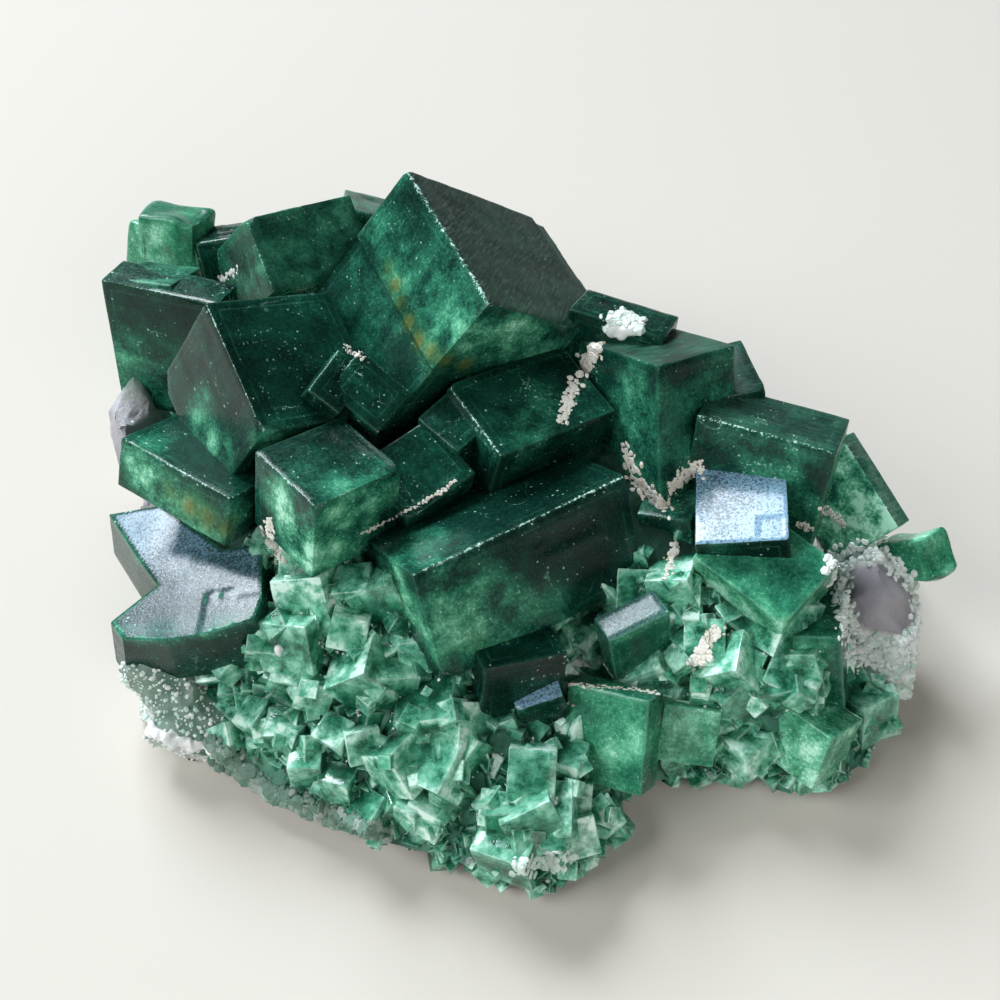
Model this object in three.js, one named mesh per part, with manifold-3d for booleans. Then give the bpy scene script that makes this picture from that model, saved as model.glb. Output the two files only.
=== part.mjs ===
// A green fluorite crystal cluster on its quartz matrix.
// Large intergrown cubes stand on a slope of small cubes, and a broken quartz rock carries them all.
// Millimetres, +Z up. The origin is on the ground under the middle of the specimen.

import * as THREE from 'three';
import { mergeVertices } from 'three/addons/utils/BufferGeometryUtils.js';
import Module from 'manifold-3d';

const wasm = await Module();
wasm.setup();

// Driving dimensions of the whole specimen
const gap = 0.3;                              // between the crystals and the rock
const crystalFoot = 1.8;                      // lowest crystal above the ground
const slope = 0.85;                           // rise of the flanks, height over distance inwards
const rimHeight = 3.2;                        // height of the slope's edge above the ground
const slopeTop = 19;                          // where the slope ends under the large cubes
const crustDepth = 3.5;                       // fluorite over the rock
const rockTop = 13;                           // highest rock under the cubes
const middle = new THREE.Vector3(-1, -6, 0);  // where the slopes all rise to

// The large cubes: middle, edge lengths and turn about x, y and z
const crystals = {
  crown: { at: [-4.5, 8, 24.5], size: [21.5, 20.5, 19.5], turn: [-15, 38, 34] },
  crownStep: { at: [-1, 12.5, 20.5], size: [13, 16, 18.5], turn: [-15, 38, 34] },
  back: { at: [-26, 20.5, 21.5], size: [14, 9, 16], turn: [28, 30, 24] },
  backRight: { at: [-17, 25, 19.5], size: [8, 8, 12], turn: [-23, 17, 9] },
  leftMiddle: { at: [-25, -3.5, 24], size: [15, 15.5, 15], turn: [5, 31, 30] },
  leftUpper: { at: [-38.5, 9, 19], size: [14.5, 5, 17], turn: [-13, 4, -16] },
  leftSlab: { at: [-37, 12, 25], size: [13, 8, 4], turn: [-24, 2, -15] },
  leftLow: { at: [-31.8, -11.5, 20], size: [15.2, 10, 6], turn: [-22, 13, -30] },
  frontLeft: { at: [-17.5, -18, 25], size: [10.5, 10, 9.5], turn: [-13, 8, 43] },
  frontBlock: { at: [0.5, -20.5, 17.5], size: [25, 12.5, 12.5], turn: [-28, -12, 31] },
  pedestal: { at: [17, -4, 20.5], size: [10.5, 15, 18], turn: [-30, -4, 32] },
  pedestalSide: { at: [24, -2, 21.5], size: [9, 9, 8], turn: [-9, -10, 8] },
  rightBlock: { at: [28.2, -11.2, 20.3], size: [14.5, 7.5, 14], turn: [-17, 3, -25] },
  rightTable: { at: [26, -17.5, 19], size: [8.5, 10, 8], turn: [-4, -14, -7] },
  centre: { at: [2.5, -6, 21.5], size: [15, 10.5, 10], turn: [0, 11, 33] },
  centreLeft: { at: [-4, -7.5, 22.5], size: [6, 8, 8], turn: [8, 3, -43] },
  valley: { at: [-9, -13.5, 21], size: [9, 8, 8], turn: [12, 8, 40] },
  smallStep: { at: [-14.5, -6.5, 26.5], size: [7, 6, 6], turn: [21, 20, -36] },
  smallStepLeft: { at: [-18, -6.5, 28], size: [4, 6, 6], turn: [20, 30, -31] },
  rearSmall: { at: [13.2, 3, 25.2], size: [11, 6, 8], turn: [-17, 7, -24] },
  farRight: { at: [38.5, -10.6, 14.8], size: [11.5, 3, 10], turn: [6, 28, -58] },
  rightLump: { at: [45, -17.5, 14], size: [5, 5.5, 6], turn: [25, 27, 22] },
  lowRight: { at: [27.5, -22, 15], size: [11.5, 9, 12], turn: [9, -6, -44] },
  lowRightFront: { at: [33.2, -27.5, 11], size: [6.8, 9, 9], turn: [-27, -11, -20] },
  frontRight: { at: [11.5, -36.5, 9], size: [9, 4, 10], turn: [-46, 4, -30] },
  darkFront: { at: [1, -30.5, 12.5], size: [9, 8, 8], turn: [-20, 4, 20] },
  paleBack: { at: [-41, 22, 17.5], size: [7.5, 7, 13], turn: [-20, 5, -8] },
  paleBackRight: { at: [-34, 22.5, 17.5], size: [7, 6, 12], turn: [-20, -5, 13] },
  middleLow: { at: [19, -15, 15], size: [6, 6, 8.5], turn: [-13, -9, -22] },
  middleFront: { at: [14, -27.5, 13.5], size: [7, 3.5, 7], turn: [-7, -10, 24] },
  frontTable: { at: [5, -33.5, 8.5], size: [5, 6, 7], turn: [-4, -14, 12] },
  lowMiddle: { at: [19.5, -34.5, 6.5], size: [6, 6, 6], turn: [-45, 8, -2] },
  lowCorner: { at: [32.5, -35.5, 6.5], size: [7, 6, 7], turn: [-25, 9, -48] },
};

// The flat-topped crystal at the left, whose top is cut across its corners
const leftTable = {
  outline: [[-45, -10.5], [-38.5, -10.5], [-29.5, -18.5], [-25, -18.5], [-24.5, -22.5], [-24, -26],
    [-24.5, -28.5], [-29.5, -29.5], [-34, -29.5], [-39, -28.5], [-41, -26], [-36.5, -22], [-40, -17.5]],
  top: 15.5,
  depth: 7,
  tilt: [-4, -14],
};

// The plan of the specimen at the ground, counter-clockwise from the front left
const rockEdge = [
  [-41, -31], [-33, -36], [-24, -40], [-12, -42], [1, -46], [8, -43], [15, -36], [34, -36], [43, -30],
  [48, -20], [49, -9], [40, 1], [26, 9], [10, 20], [-8, 29], [-26, 33], [-40, 31], [-47, 20], [-47, 6],
  [-44, -8], [-42, -22],
];
const fluoriteEdge = [
  [-36, -29], [-29, -37.5], [-17, -44], [-6, -47], [3, -50], [9, -47.5], [14, -40], [24, -38], [35, -39],
  [41, -34], [43, -26], [42, -14], [38, -4], [28, 5], [12, 14], [-6, 24], [-24, 28], [-38, 26], [-44, 16],
  [-43, 2], [-41, -10], [-42, -22],
];

// Lumps of bare quartz that stand out of the rock: middle and radii
const quartzLumps = [
  { at: [41, -20.5, 8], radii: [6.5, 7.5, 6.5] },
  { at: [41.5, -26, 4], radii: [5.5, 5, 4.5] },
  { at: [43, -9, 3.5], radii: [5, 6, 4] },
  { at: [-36.5, -28.5, 5], radii: [5.5, 4.5, 6] },
  { at: [-33, -33, 3.5], radii: [6, 4, 4.5] },
  { at: [-44, 3.5, 8], radii: [4, 8, 9] },
  { at: [-45, 17, 5], radii: [4.5, 7, 5] },
  { at: [-20, 29, 5], radii: [9, 5, 6] },
  { at: [17, 15, 5], radii: [8, 6, 5] },
];

// The crusts of small cubes, on the front slope and on the slope behind.
// from and to are shares of the way round the fluorite's edge, outer and inner shares of the way in.
const frontCrust = {
  count: 104, smallest: 3.2, largest: 6, from: -0.03, to: 0.36, outer: 0.045, inner: 0.5, seed: 11,
};
const rearCrust = {
  count: 26, smallest: 5, largest: 9, from: 0.46, to: 0.84, outer: 0.05, inner: 0.5, seed: 23,
};

function randomSource(seed) {
  let state = seed;
  return () => {
    state = (state * 16807) % 2147483647;
    return state / 2147483647;
  };
}

function toSolid(geometry) {
  const bare = geometry.index ? geometry.toNonIndexed() : geometry.clone();
  bare.deleteAttribute('normal');
  bare.deleteAttribute('uv');
  const merged = mergeVertices(bare, 1e-4);
  return new wasm.Manifold(new wasm.Mesh({
    numProp: 3,
    vertProperties: new Float32Array(merged.attributes.position.array),
    triVerts: new Uint32Array(merged.index.array),
  }));
}

function toGeometry(solid) {
  const mesh = solid.getMesh();
  const geometry = new THREE.BufferGeometry();
  geometry.setAttribute('position', new THREE.BufferAttribute(new Float32Array(mesh.vertProperties), 3));
  geometry.setIndex(new THREE.BufferAttribute(new Uint32Array(mesh.triVerts), 1));
  geometry.computeVertexNormals();
  return geometry;
}

function turnOf(degrees) {
  return new THREE.Euler(...degrees.map(THREE.MathUtils.degToRad), 'XYZ');
}

function crystalSolid({ at, size, turn }) {
  const cube = new THREE.BoxGeometry(...size);
  cube.applyMatrix4(new THREE.Matrix4().makeRotationFromEuler(turnOf(turn)));
  cube.translate(...at);
  return toSolid(cube);
}

function tableSolid({ outline, top, depth, tilt }) {
  const corners = outline.map(([x, y]) => new THREE.Vector2(x, y));
  const centre = corners.reduce((sum, corner) => sum.add(corner), new THREE.Vector2());
  centre.divideScalar(corners.length);
  const shape = new THREE.Shape(corners.map((corner) => corner.clone().sub(centre)));
  const slab = new THREE.ExtrudeGeometry(shape, { depth, bevelEnabled: false, steps: 1 });
  slab.translate(0, 0, -depth);
  slab.applyMatrix4(new THREE.Matrix4().makeRotationFromEuler(turnOf([...tilt, 0])));
  slab.translate(centre.x, centre.y, top);
  return toSolid(slab);
}

function edgeCurve(edge) {
  return new THREE.CatmullRomCurve3(edge.map(([x, y]) => new THREE.Vector3(x, y, 0)), true, 'centripetal');
}

// Height of a flank at a distance inside its edge
function flankHeight(inside, lower, highest) {
  const full = rimHeight + slope * inside - lower;
  return highest - Math.log(1 + Math.exp((highest - full) / 2)) * 2;
}

// A mound over a closed edge: rings from the foot up to the middle, with a flat underside
function moundGeometry({ edge, around, rings, foot, footInset, lower, highest, rough, seed, swell }) {
  const curve = edgeCurve(edge);
  const random = randomSource(seed);
  const points = [];
  for (let ring = 0; ring <= rings; ring += 1) {
    const inward = ring === 0 ? footInset : (ring - 1) / rings;
    for (let i = 0; i < around; i += 1) {
      const onEdge = curve.getPointAt(i / around);
      const reach = onEdge.distanceTo(middle);
      const wobble = ring === 0 ? 0 : (random() - 0.5) * rough;
      const point = onEdge.clone().lerp(middle, inward);
      const outward = onEdge.clone().sub(middle).normalize();
      point.addScaledVector(outward, wobble + swell);
      const height = flankHeight(inward * reach, lower, highest) + (random() - 0.5) * rough + swell;
      point.z = ring === 0 ? foot - swell : Math.max(height, foot + 0.6);
      points.push(point);
    }
  }
  const underside = points.length;
  points.push(new THREE.Vector3(middle.x, middle.y, foot - swell));
  points.push(new THREE.Vector3(middle.x, middle.y, highest + swell));
  const faces = [];
  for (let i = 0; i < around; i += 1) {
    const next = (i + 1) % around;
    for (let ring = 0; ring < rings; ring += 1) {
      const low = ring * around;
      const high = low + around;
      faces.push(low + i, low + next, high + next, low + i, high + next, high + i);
    }
    faces.push(underside, next, i);
    faces.push(rings * around + i, rings * around + next, underside + 1);
  }
  const geometry = new THREE.BufferGeometry().setFromPoints(points);
  geometry.setIndex(faces);
  return geometry;
}

function lumpGeometry({ at, radii }, seed, swell) {
  const ball = new THREE.IcosahedronGeometry(1, 1);
  const random = randomSource(seed);
  const offsets = new Map();
  const position = ball.attributes.position;
  for (let i = 0; i < position.count; i += 1) {
    const p = new THREE.Vector3().fromBufferAttribute(position, i);
    const key = [p.x, p.y, p.z].map((v) => v.toFixed(3)).join();
    if (!offsets.has(key)) {
      offsets.set(key, 0.75 + 0.4 * random());
    }
    p.multiplyScalar(offsets.get(key));
    const spot = [p.x * radii[0], p.y * radii[1], p.z * radii[2]];
    const reach = 1 + swell / Math.hypot(...spot);
    position.setXYZ(i, spot[0] * reach, spot[1] * reach, spot[2] * reach);
  }
  ball.translate(...at);
  return ball;
}

function aboveGround(solid, level) {
  const slab = new THREE.BoxGeometry(200, 200, 100);
  slab.translate(0, 0, level - 50);
  return solid.subtract(toSolid(slab));
}

function rockSolid(swell) {
  const mound = moundGeometry({
    edge: rockEdge, around: 40, rings: 5, foot: 0, footInset: 0.07, lower: crustDepth, highest: rockTop,
    rough: 1.6, seed: 5, swell,
  });
  const lumps = quartzLumps.map((lump, i) => toSolid(lumpGeometry(lump, 40 + i, swell)));
  return aboveGround(wasm.Manifold.union([toSolid(mound), ...lumps]), -swell);
}

function crustCubes(crust) {
  const random = randomSource(crust.seed);
  const curve = edgeCurve(fluoriteEdge);
  const cubes = [];
  for (let i = 0; i < crust.count; i += 1) {
    const along = THREE.MathUtils.lerp(crust.from, crust.to, (i + random()) / crust.count);
    const onEdge = curve.getPointAt((along + 1) % 1);
    const inward = THREE.MathUtils.lerp(crust.outer, crust.inner, random() ** 1.3);
    const spot = onEdge.clone().lerp(middle, inward);
    const size = THREE.MathUtils.lerp(crust.smallest, crust.largest, random() ** 2);
    const turn = [random() * 90, random() * 90, random() * 90];
    const z = flankHeight(inward * onEdge.distanceTo(middle), 0, slopeTop);
    cubes.push({ at: [spot.x, spot.y, z], size: [size, size, size * (0.8 + 0.4 * random())], turn });
  }
  return cubes;
}

function fluoriteSolid() {
  const bed = moundGeometry({
    edge: fluoriteEdge, around: 44, rings: 6, foot: crystalFoot, footInset: 0.05, lower: 0,
    highest: slopeTop, rough: 1.2, seed: 8, swell: 0,
  });
  const parts = [toSolid(bed), tableSolid(leftTable)];
  Object.values(crystals).forEach((crystal) => parts.push(crystalSolid(crystal)));
  [frontCrust, rearCrust].forEach((crust) => {
    crustCubes(crust).forEach((cube) => parts.push(crystalSolid(cube)));
  });
  const grown = aboveGround(wasm.Manifold.union(parts), crystalFoot).subtract(rockSolid(gap));
  return grown.decompose().sort((a, b) => b.volume() - a.volume())[0];
}

function part(name, solid, material) {
  const mesh = new THREE.Mesh(toGeometry(solid), new THREE.MeshStandardMaterial(material));
  mesh.name = name;
  return mesh;
}

const group = new THREE.Group();
group.add(part('fluorite_crystals', fluoriteSolid(), { color: '#1c5a40', roughness: 0.18, metalness: 0 }));
group.add(part('quartz_matrix', rockSolid(0), { color: '#cfcfc6', roughness: 0.8, metalness: 0 }));

// The plan above is drawn about another point, so the specimen moves over the origin
const middleOfAll = new THREE.Box3().setFromObject(group).getCenter(new THREE.Vector3());
group.position.set(-middleOfAll.x, -middleOfAll.y, 0);

export default group;
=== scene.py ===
# Green fluorite cubes on a broken quartz rock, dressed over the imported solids.
# Places and sizes in the dictionaries are in millimetres, on the plan that the solids were drawn on.
import math

import bmesh
import bpy
import numpy as np
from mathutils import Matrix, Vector
from mathutils.bvhtree import BVHTree


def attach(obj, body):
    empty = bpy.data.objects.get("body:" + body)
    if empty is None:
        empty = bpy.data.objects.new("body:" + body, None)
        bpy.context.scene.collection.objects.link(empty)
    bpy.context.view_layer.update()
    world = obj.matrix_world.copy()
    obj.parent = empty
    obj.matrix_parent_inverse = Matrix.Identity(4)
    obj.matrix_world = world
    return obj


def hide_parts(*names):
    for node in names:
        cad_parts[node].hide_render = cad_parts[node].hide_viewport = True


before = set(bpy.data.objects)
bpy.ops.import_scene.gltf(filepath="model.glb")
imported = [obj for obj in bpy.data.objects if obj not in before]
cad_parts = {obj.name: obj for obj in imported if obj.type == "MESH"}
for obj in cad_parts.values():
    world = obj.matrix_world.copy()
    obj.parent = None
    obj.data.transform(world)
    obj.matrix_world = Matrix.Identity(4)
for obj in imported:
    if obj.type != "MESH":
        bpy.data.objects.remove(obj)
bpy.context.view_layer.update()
mm = 0.001
planShift = np.array([-0.11331957, 8.57892071, 0.0])    # from the plan to the origin of the solids


# Helpers

def hexToLinear(text):
    parts = [int(text[i:i + 2], 16) / 255 for i in (1, 3, 5)]
    return tuple(p / 12.92 if p < 0.04045 else ((p + 0.055) / 1.055) ** 2.4 for p in parts) + (1.0,)


def addNode(tree, kind, inputs=None, stops=None, **settings):
    node = tree.nodes.new(kind)
    for name, value in settings.items():
        setattr(node, name, value)
    for name, value in (inputs or {}).items():
        if isinstance(value, bpy.types.NodeSocket):
            tree.links.new(value, node.inputs[name])
        else:
            node.inputs[name].default_value = value
    for i, (at, colour) in enumerate(stops or []):
        ramp = node.color_ramp.elements
        stop = ramp[i] if i < len(ramp) else ramp.new(at)
        stop.position = at
        stop.color = hexToLinear(colour)
    return node


def randomSource(seed):
    state = seed
    while True:
        state = state * 16807 % 2147483647
        yield state / 2147483647


def fieldNoise(points, size, seed):     # smooth noise from 0 to 1, with blobs of about that size
    table = np.random.default_rng(seed).random(4096)
    spot = points / size + 300.0
    cell = np.floor(spot).astype(np.int64)
    part = spot - cell
    part = part * part * (3 - 2 * part)
    total = np.zeros(len(points))
    for corner in np.ndindex(2, 2, 2):
        c = cell + np.array(corner)
        value = table[(c[:, 0] * 7919 + c[:, 1] * 104729 + c[:, 2] * 1299709) & 4095]
        total += value * np.prod(np.where(np.array(corner) == 1, part, 1 - part), axis=1)
    return total


def turnMatrix(degrees):
    cx, cy, cz = np.cos(np.radians(degrees))
    sx, sy, sz = np.sin(np.radians(degrees))
    rx = np.array([[1, 0, 0], [0, cx, -sx], [0, sx, cx]])
    ry = np.array([[cy, 0, sy], [0, 1, 0], [-sy, 0, cy]])
    rz = np.array([[cz, -sz, 0], [sz, cz, 0], [0, 0, 1]])
    return rx @ ry @ rz


def toObject(name, mesh, material, slot, *nodes):
    piece = bpy.data.objects.new(name, mesh)
    bpy.context.scene.collection.objects.link(piece)
    if material is not None:
        mesh.materials.clear()
        mesh.materials.append(material)
    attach(piece, "root")
    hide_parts(*nodes)
    return piece


def quadMesh(name, points, faces, tones=None, wear=None, rim=None, grain=None, sharp=28):
    mesh = bpy.data.meshes.new(name)
    mesh.from_pydata([], [], [])
    size = faces.shape[1]
    mesh.vertices.add(len(points))
    mesh.vertices.foreach_set("co", (points * mm).astype(np.float32).ravel())
    mesh.loops.add(faces.size)
    mesh.loops.foreach_set("vertex_index", faces.astype(np.int32).ravel())
    mesh.polygons.add(len(faces))
    mesh.polygons.foreach_set("loop_start", np.arange(0, faces.size, size, dtype=np.int32))
    mesh.update(calc_edges=True)
    if tones is not None:
        mesh.attributes.new("tone", "FLOAT_COLOR", "CORNER")
        mesh.attributes["tone"].data.foreach_set("color", tones.astype(np.float32).ravel())
    if wear is not None:
        mesh.attributes.new("wear", "FLOAT", "POINT")
        mesh.attributes["wear"].data.foreach_set("value", wear.astype(np.float32))
    if rim is not None:
        mesh.attributes.new("rim", "FLOAT", "CORNER")
        mesh.attributes["rim"].data.foreach_set("value", rim.astype(np.float32).ravel())
    if grain is not None:
        mesh.uv_layers.new(name="grain")
        mesh.uv_layers["grain"].data.foreach_set("uv", grain.astype(np.float32).ravel())
    mesh.shade_smooth()
    mesh.set_sharp_from_angle(angle=math.radians(sharp))
    return mesh


# Camera, at the photograph's angle

cameraLook = {
    "target": (-0.113, 8.579, 0.0),     # mm, the point in the middle of the frame
    "distance": 144.87,
    "pitch": 53.52,                     # degrees down
    "lens": 40.68,
}
down = math.radians(cameraLook["pitch"])
aim = Vector(cameraLook["target"])
back = Vector((0, -math.cos(down), math.sin(down))) * cameraLook["distance"]
camera = bpy.data.objects.new("camera", bpy.data.cameras.new("camera"))
camera.location = (aim + back) * mm
camera.rotation_euler = (math.pi / 2 - down, 0, 0)
camera.data.lens = cameraLook["lens"]
camera.data.sensor_width = 36
camera.data.clip_start = 0.005
bpy.context.scene.collection.objects.link(camera)
bpy.context.scene.camera = camera
print("camera placed")


def sightLine(x, y):        # from the camera through a place on the 1000 x 1000 photograph
    half = camera.data.sensor_width / 2 / camera.data.lens
    ray = Vector(((x / 500 - 1) * half, (1 - y / 500) * half, -1)).normalized()
    return camera.location, camera.rotation_euler.to_matrix() @ ray


def treesOf(objects):       # search trees over the faces of several meshes
    seen = bpy.context.evaluated_depsgraph_get()
    return [BVHTree.FromObject(item, seen) for item in objects]


def spotOn(trees, x, y):    # where that sight line first meets one of them, and which way it faces, in mm
    start, way = sightLine(x, y)
    hits = [tree.ray_cast(start, way) for tree in trees]
    hits = [hit for hit in hits if hit[0] is not None]
    if not hits:
        return None, None
    nearest = min(hits, key=lambda hit: hit[3])
    return np.array(nearest[0]) / mm, np.array(nearest[1])


solidTrees = treesOf(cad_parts.values())


# Materials

darkFluorite = {        # deep bottle-green crystal, clear but so strongly coloured that it goes black in depth
    "name": "darkGreenFluorite",
    "clear": "#092a24", "deep": "#185545", "body": "#368a6c", "veil": "#69c098", "mint": "#b4f0d4", "rim": "#69c098",
    "transmission": 0.54, "cloudSize": 3.4, "drift": 1.15, "absorb": (0.06, 0.5, 0.3), "density": 150.0,
    "speck": 0.75, "rimGlow": 0.12, "rimWidth": 0.4, "grit": 0.28, "gloss": 0.16, "rough": 0.17, "zoneAt": 1.1,
    "faces": True,
}
midFluorite = {         # the same crystal where it is thinner and cloudier, a fresh sea green
    "name": "seaGreenFluorite",
    "clear": "#104638", "deep": "#22725a", "body": "#45a37c", "veil": "#7ad0a9", "mint": "#bcf3da", "rim": "#8fd9b9",
    "transmission": 0.62, "cloudSize": 3.0, "drift": 0.8, "absorb": (0.2, 0.7, 0.48), "density": 110.0,
    "speck": 0.7, "rimGlow": 0.3, "rimWidth": 0.35, "grit": 0.26, "gloss": 0.3, "rough": 0.17, "zoneAt": 0.8,
    "faces": True,
}
crustFluorite = {       # small young cubes, pale mint with milky hearts and glassy corners
    "name": "paleMintFluorite",
    "clear": "#22735a", "deep": "#3a9d7a", "body": "#72d3ae", "veil": "#a6eccf", "mint": "#dcfaee", "rim": "#b2e6d2",
    "transmission": 0.88, "cloudSize": 1.7, "drift": 1.0, "absorb": (0.34, 0.84, 0.66), "density": 100.0,
    "speck": 0.0, "rimGlow": 0.6, "rimWidth": 0.2, "grit": 0.14, "gloss": 0.8, "rough": 0.06,
    "faces": False,
}


def crystalMaterial(look):
    material = bpy.data.materials.new(look["name"])
    material.use_nodes = True
    tree = material.node_tree
    tree.nodes.clear()
    place = addNode(tree, "ShaderNodeTexCoord").outputs["Object"]
    place = addNode(tree, "ShaderNodeMapping", {"Vector": place, "Scale": (1000, 1000, 1000)}).outputs[0]
    tone = addNode(tree, "ShaderNodeAttribute", attribute_name="tone")
    split = addNode(tree, "ShaderNodeSeparateColor", {"Color": tone.outputs["Color"]})
    cloud, frost, stain = split.outputs[0], split.outputs[1], split.outputs[2]
    glare = tone.outputs["Alpha"]
    rim = addNode(tree, "ShaderNodeAttribute", attribute_name="rim").outputs["Fac"]

    # Soft milky clouds inside the crystal, with a fine frosty grain
    drift = addNode(tree, "ShaderNodeTexNoise", {
        "Vector": place, "Scale": 1 / look["cloudSize"], "Detail": 4.0, "Roughness": 0.6}).outputs[0]
    drift = addNode(tree, "ShaderNodeMapRange", {
        "Value": drift, "From Min": 0.34, "From Max": 0.66}).outputs[0]
    fine = addNode(tree, "ShaderNodeTexNoise", {
        "Vector": place, "Scale": 2.6, "Detail": 2.0, "Roughness": 0.85}).outputs[0]
    grit = addNode(tree, "ShaderNodeMapRange", {"Value": fine, "From Min": 0.36, "From Max": 0.66}).outputs[0]
    lift = addNode(tree, "ShaderNodeMath", {0: drift, 1: look["drift"], 2: 0.85 - look["drift"] / 2},
                   operation="MULTIPLY_ADD").outputs[0]
    lift = addNode(tree, "ShaderNodeMath", {0: grit, 1: look["grit"], 2: lift}, operation="MULTIPLY_ADD").outputs[0]
    milk = addNode(tree, "ShaderNodeMath", {0: cloud, 1: lift}, operation="MULTIPLY").outputs[0]
    dull = addNode(tree, "ShaderNodeMath", {0: glare, 1: -3.0, 2: 1.0}, operation="MULTIPLY_ADD",
                   use_clamp=True).outputs[0]
    milk = addNode(tree, "ShaderNodeMath", {0: milk, 1: dull}, operation="MULTIPLY").outputs[0]
    faint = addNode(tree, "ShaderNodeMath", {0: grit, 1: look["grit"] * 0.3, 2: -0.02}, operation="MULTIPLY_ADD").outputs[0]
    milk = addNode(tree, "ShaderNodeMath", {0: milk, 1: faint}, operation="ADD", use_clamp=True).outputs[0]
    body = addNode(tree, "ShaderNodeValToRGB", {"Fac": milk}, stops=[
        (0.0, look["clear"]), (1.0, look["mint"]), (0.2, look["deep"]), (0.45, look["body"]),
        (0.72, look["veil"])]).outputs[0]
    covers = []

    if look["speck"] > 0:
        # White specks of 0.1 to 0.3 mm on and just under the faces, more of them where it is cloudy
        dots = addNode(tree, "ShaderNodeTexVoronoi", {"Vector": place, "Scale": 1.9}, feature="F1")
        pick = addNode(tree, "ShaderNodeSeparateColor", {"Color": dots.outputs["Color"]})
        rare = addNode(tree, "ShaderNodeMath", {0: pick.outputs[0], 1: 4.0}, operation="POWER").outputs[0]
        zone = addNode(tree, "ShaderNodeMath", {0: drift, 1: 0.26, 2: 0.12}, operation="MULTIPLY_ADD").outputs[0]
        specks = addNode(tree, "ShaderNodeMath", {0: rare, 1: zone}, operation="MULTIPLY").outputs[0]
        specks = addNode(tree, "ShaderNodeMath", {0: specks, 1: dots.outputs["Distance"]},
                         operation="SUBTRACT").outputs[0]
        specks = addNode(tree, "ShaderNodeMath", {0: specks, 1: 14.0}, operation="MULTIPLY",
                         use_clamp=True).outputs[0]
        specks = addNode(tree, "ShaderNodeMath", {0: specks, 1: look["speck"]}, operation="MULTIPLY").outputs[0]
        body = addNode(tree, "ShaderNodeMix", {0: specks, 6: body, 7: hexToLinear("#b4d8cc")},
                       data_type="RGBA").outputs[2]
        covers.append((specks, 1.0))

    # Painted highlight: a lighter rim along the edges, where light comes through the thin edges
    border = addNode(tree, "ShaderNodeMapRange", {
        "Value": rim, "From Min": look["rimWidth"], "From Max": 0.06}).outputs[0]
    border = addNode(tree, "ShaderNodeMath", {0: border, 1: look["rimGlow"]}, operation="MULTIPLY").outputs[0]
    body = addNode(tree, "ShaderNodeMix", {0: border, 6: body, 7: hexToLinear(look["rim"])},
                   data_type="RGBA").outputs[2]
    rough = addNode(tree, "ShaderNodeMath", {0: grit, 1: look["grit"] * 0.4, 2: look["rough"]}, operation="MULTIPLY_ADD").outputs[0]
    height = fine
    coat = 0.0

    if look["faces"]:
        wear = addNode(tree, "ShaderNodeAttribute", attribute_name="wear").outputs["Fac"]
        grain = addNode(tree, "ShaderNodeUVMap", uv_map="grain").outputs[0]

        # Hairline cracks that wander through the crystal
        wander = addNode(tree, "ShaderNodeTexNoise", {
            "Vector": place, "Scale": 0.12, "Detail": 2.0, "Roughness": 0.5}).outputs[0]
        crack = addNode(tree, "ShaderNodeMath", {0: wander, 1: 0.47}, operation="SUBTRACT").outputs[0]
        crack = addNode(tree, "ShaderNodeMath", {0: crack}, operation="ABSOLUTE").outputs[0]
        crack = addNode(tree, "ShaderNodeMapRange", {"Value": crack, "From Min": 0.0045, "From Max": 0.001}).outputs[0]
        crack = addNode(tree, "ShaderNodeMath", {0: crack, 1: grit}, operation="MULTIPLY").outputs[0]
        where = addNode(tree, "ShaderNodeMapRange", {"Value": drift, "From Min": 0.55, "From Max": 0.8,
                                                     "To Max": 0.5}).outputs[0]
        crack = addNode(tree, "ShaderNodeMath", {0: crack, 1: where}, operation="MULTIPLY").outputs[0]
        body = addNode(tree, "ShaderNodeMix", {0: crack, 6: body, 7: hexToLinear("#9ccbb8")},
                       data_type="RGBA").outputs[2]
        covers.append((crack, 1.0))

        # A growth zone, seen as a faint line that follows the border of the face
        zone = addNode(tree, "ShaderNodeMath", {0: rim, 1: look["zoneAt"]}, operation="SUBTRACT").outputs[0]
        zone = addNode(tree, "ShaderNodeMath", {0: zone}, operation="ABSOLUTE").outputs[0]
        zone = addNode(tree, "ShaderNodeMapRange", {"Value": zone, "From Min": 0.14, "From Max": 0.03}).outputs[0]
        zone = addNode(tree, "ShaderNodeMath", {0: zone, 1: drift}, operation="MULTIPLY").outputs[0]
        zone = addNode(tree, "ShaderNodeMath", {0: zone, 1: 0.2}, operation="MULTIPLY").outputs[0]
        body = addNode(tree, "ShaderNodeMix", {0: zone, 6: body, 7: hexToLinear(look["veil"])},
                       data_type="RGBA").outputs[2]
        covers.append((zone, 0.8))

        # Olive iron stain under the surface
        rust = addNode(tree, "ShaderNodeMath", {0: drift, 1: 0.7, 2: 0.45}, operation="MULTIPLY_ADD").outputs[0]
        rust = addNode(tree, "ShaderNodeMath", {0: stain, 1: rust}, operation="MULTIPLY", use_clamp=True).outputs[0]
        rustColour = addNode(tree, "ShaderNodeValToRGB", {"Fac": rust}, stops=[
            (0.0, "#3c7a40"), (1.0, "#80661c"), (0.5, "#747f28")]).outputs[0]
        rust = addNode(tree, "ShaderNodeMath", {0: rust, 1: 0.8}, operation="MULTIPLY").outputs[0]
        body = addNode(tree, "ShaderNodeMix", {0: rust, 6: body, 7: rustColour}, data_type="RGBA").outputs[2]

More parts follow.
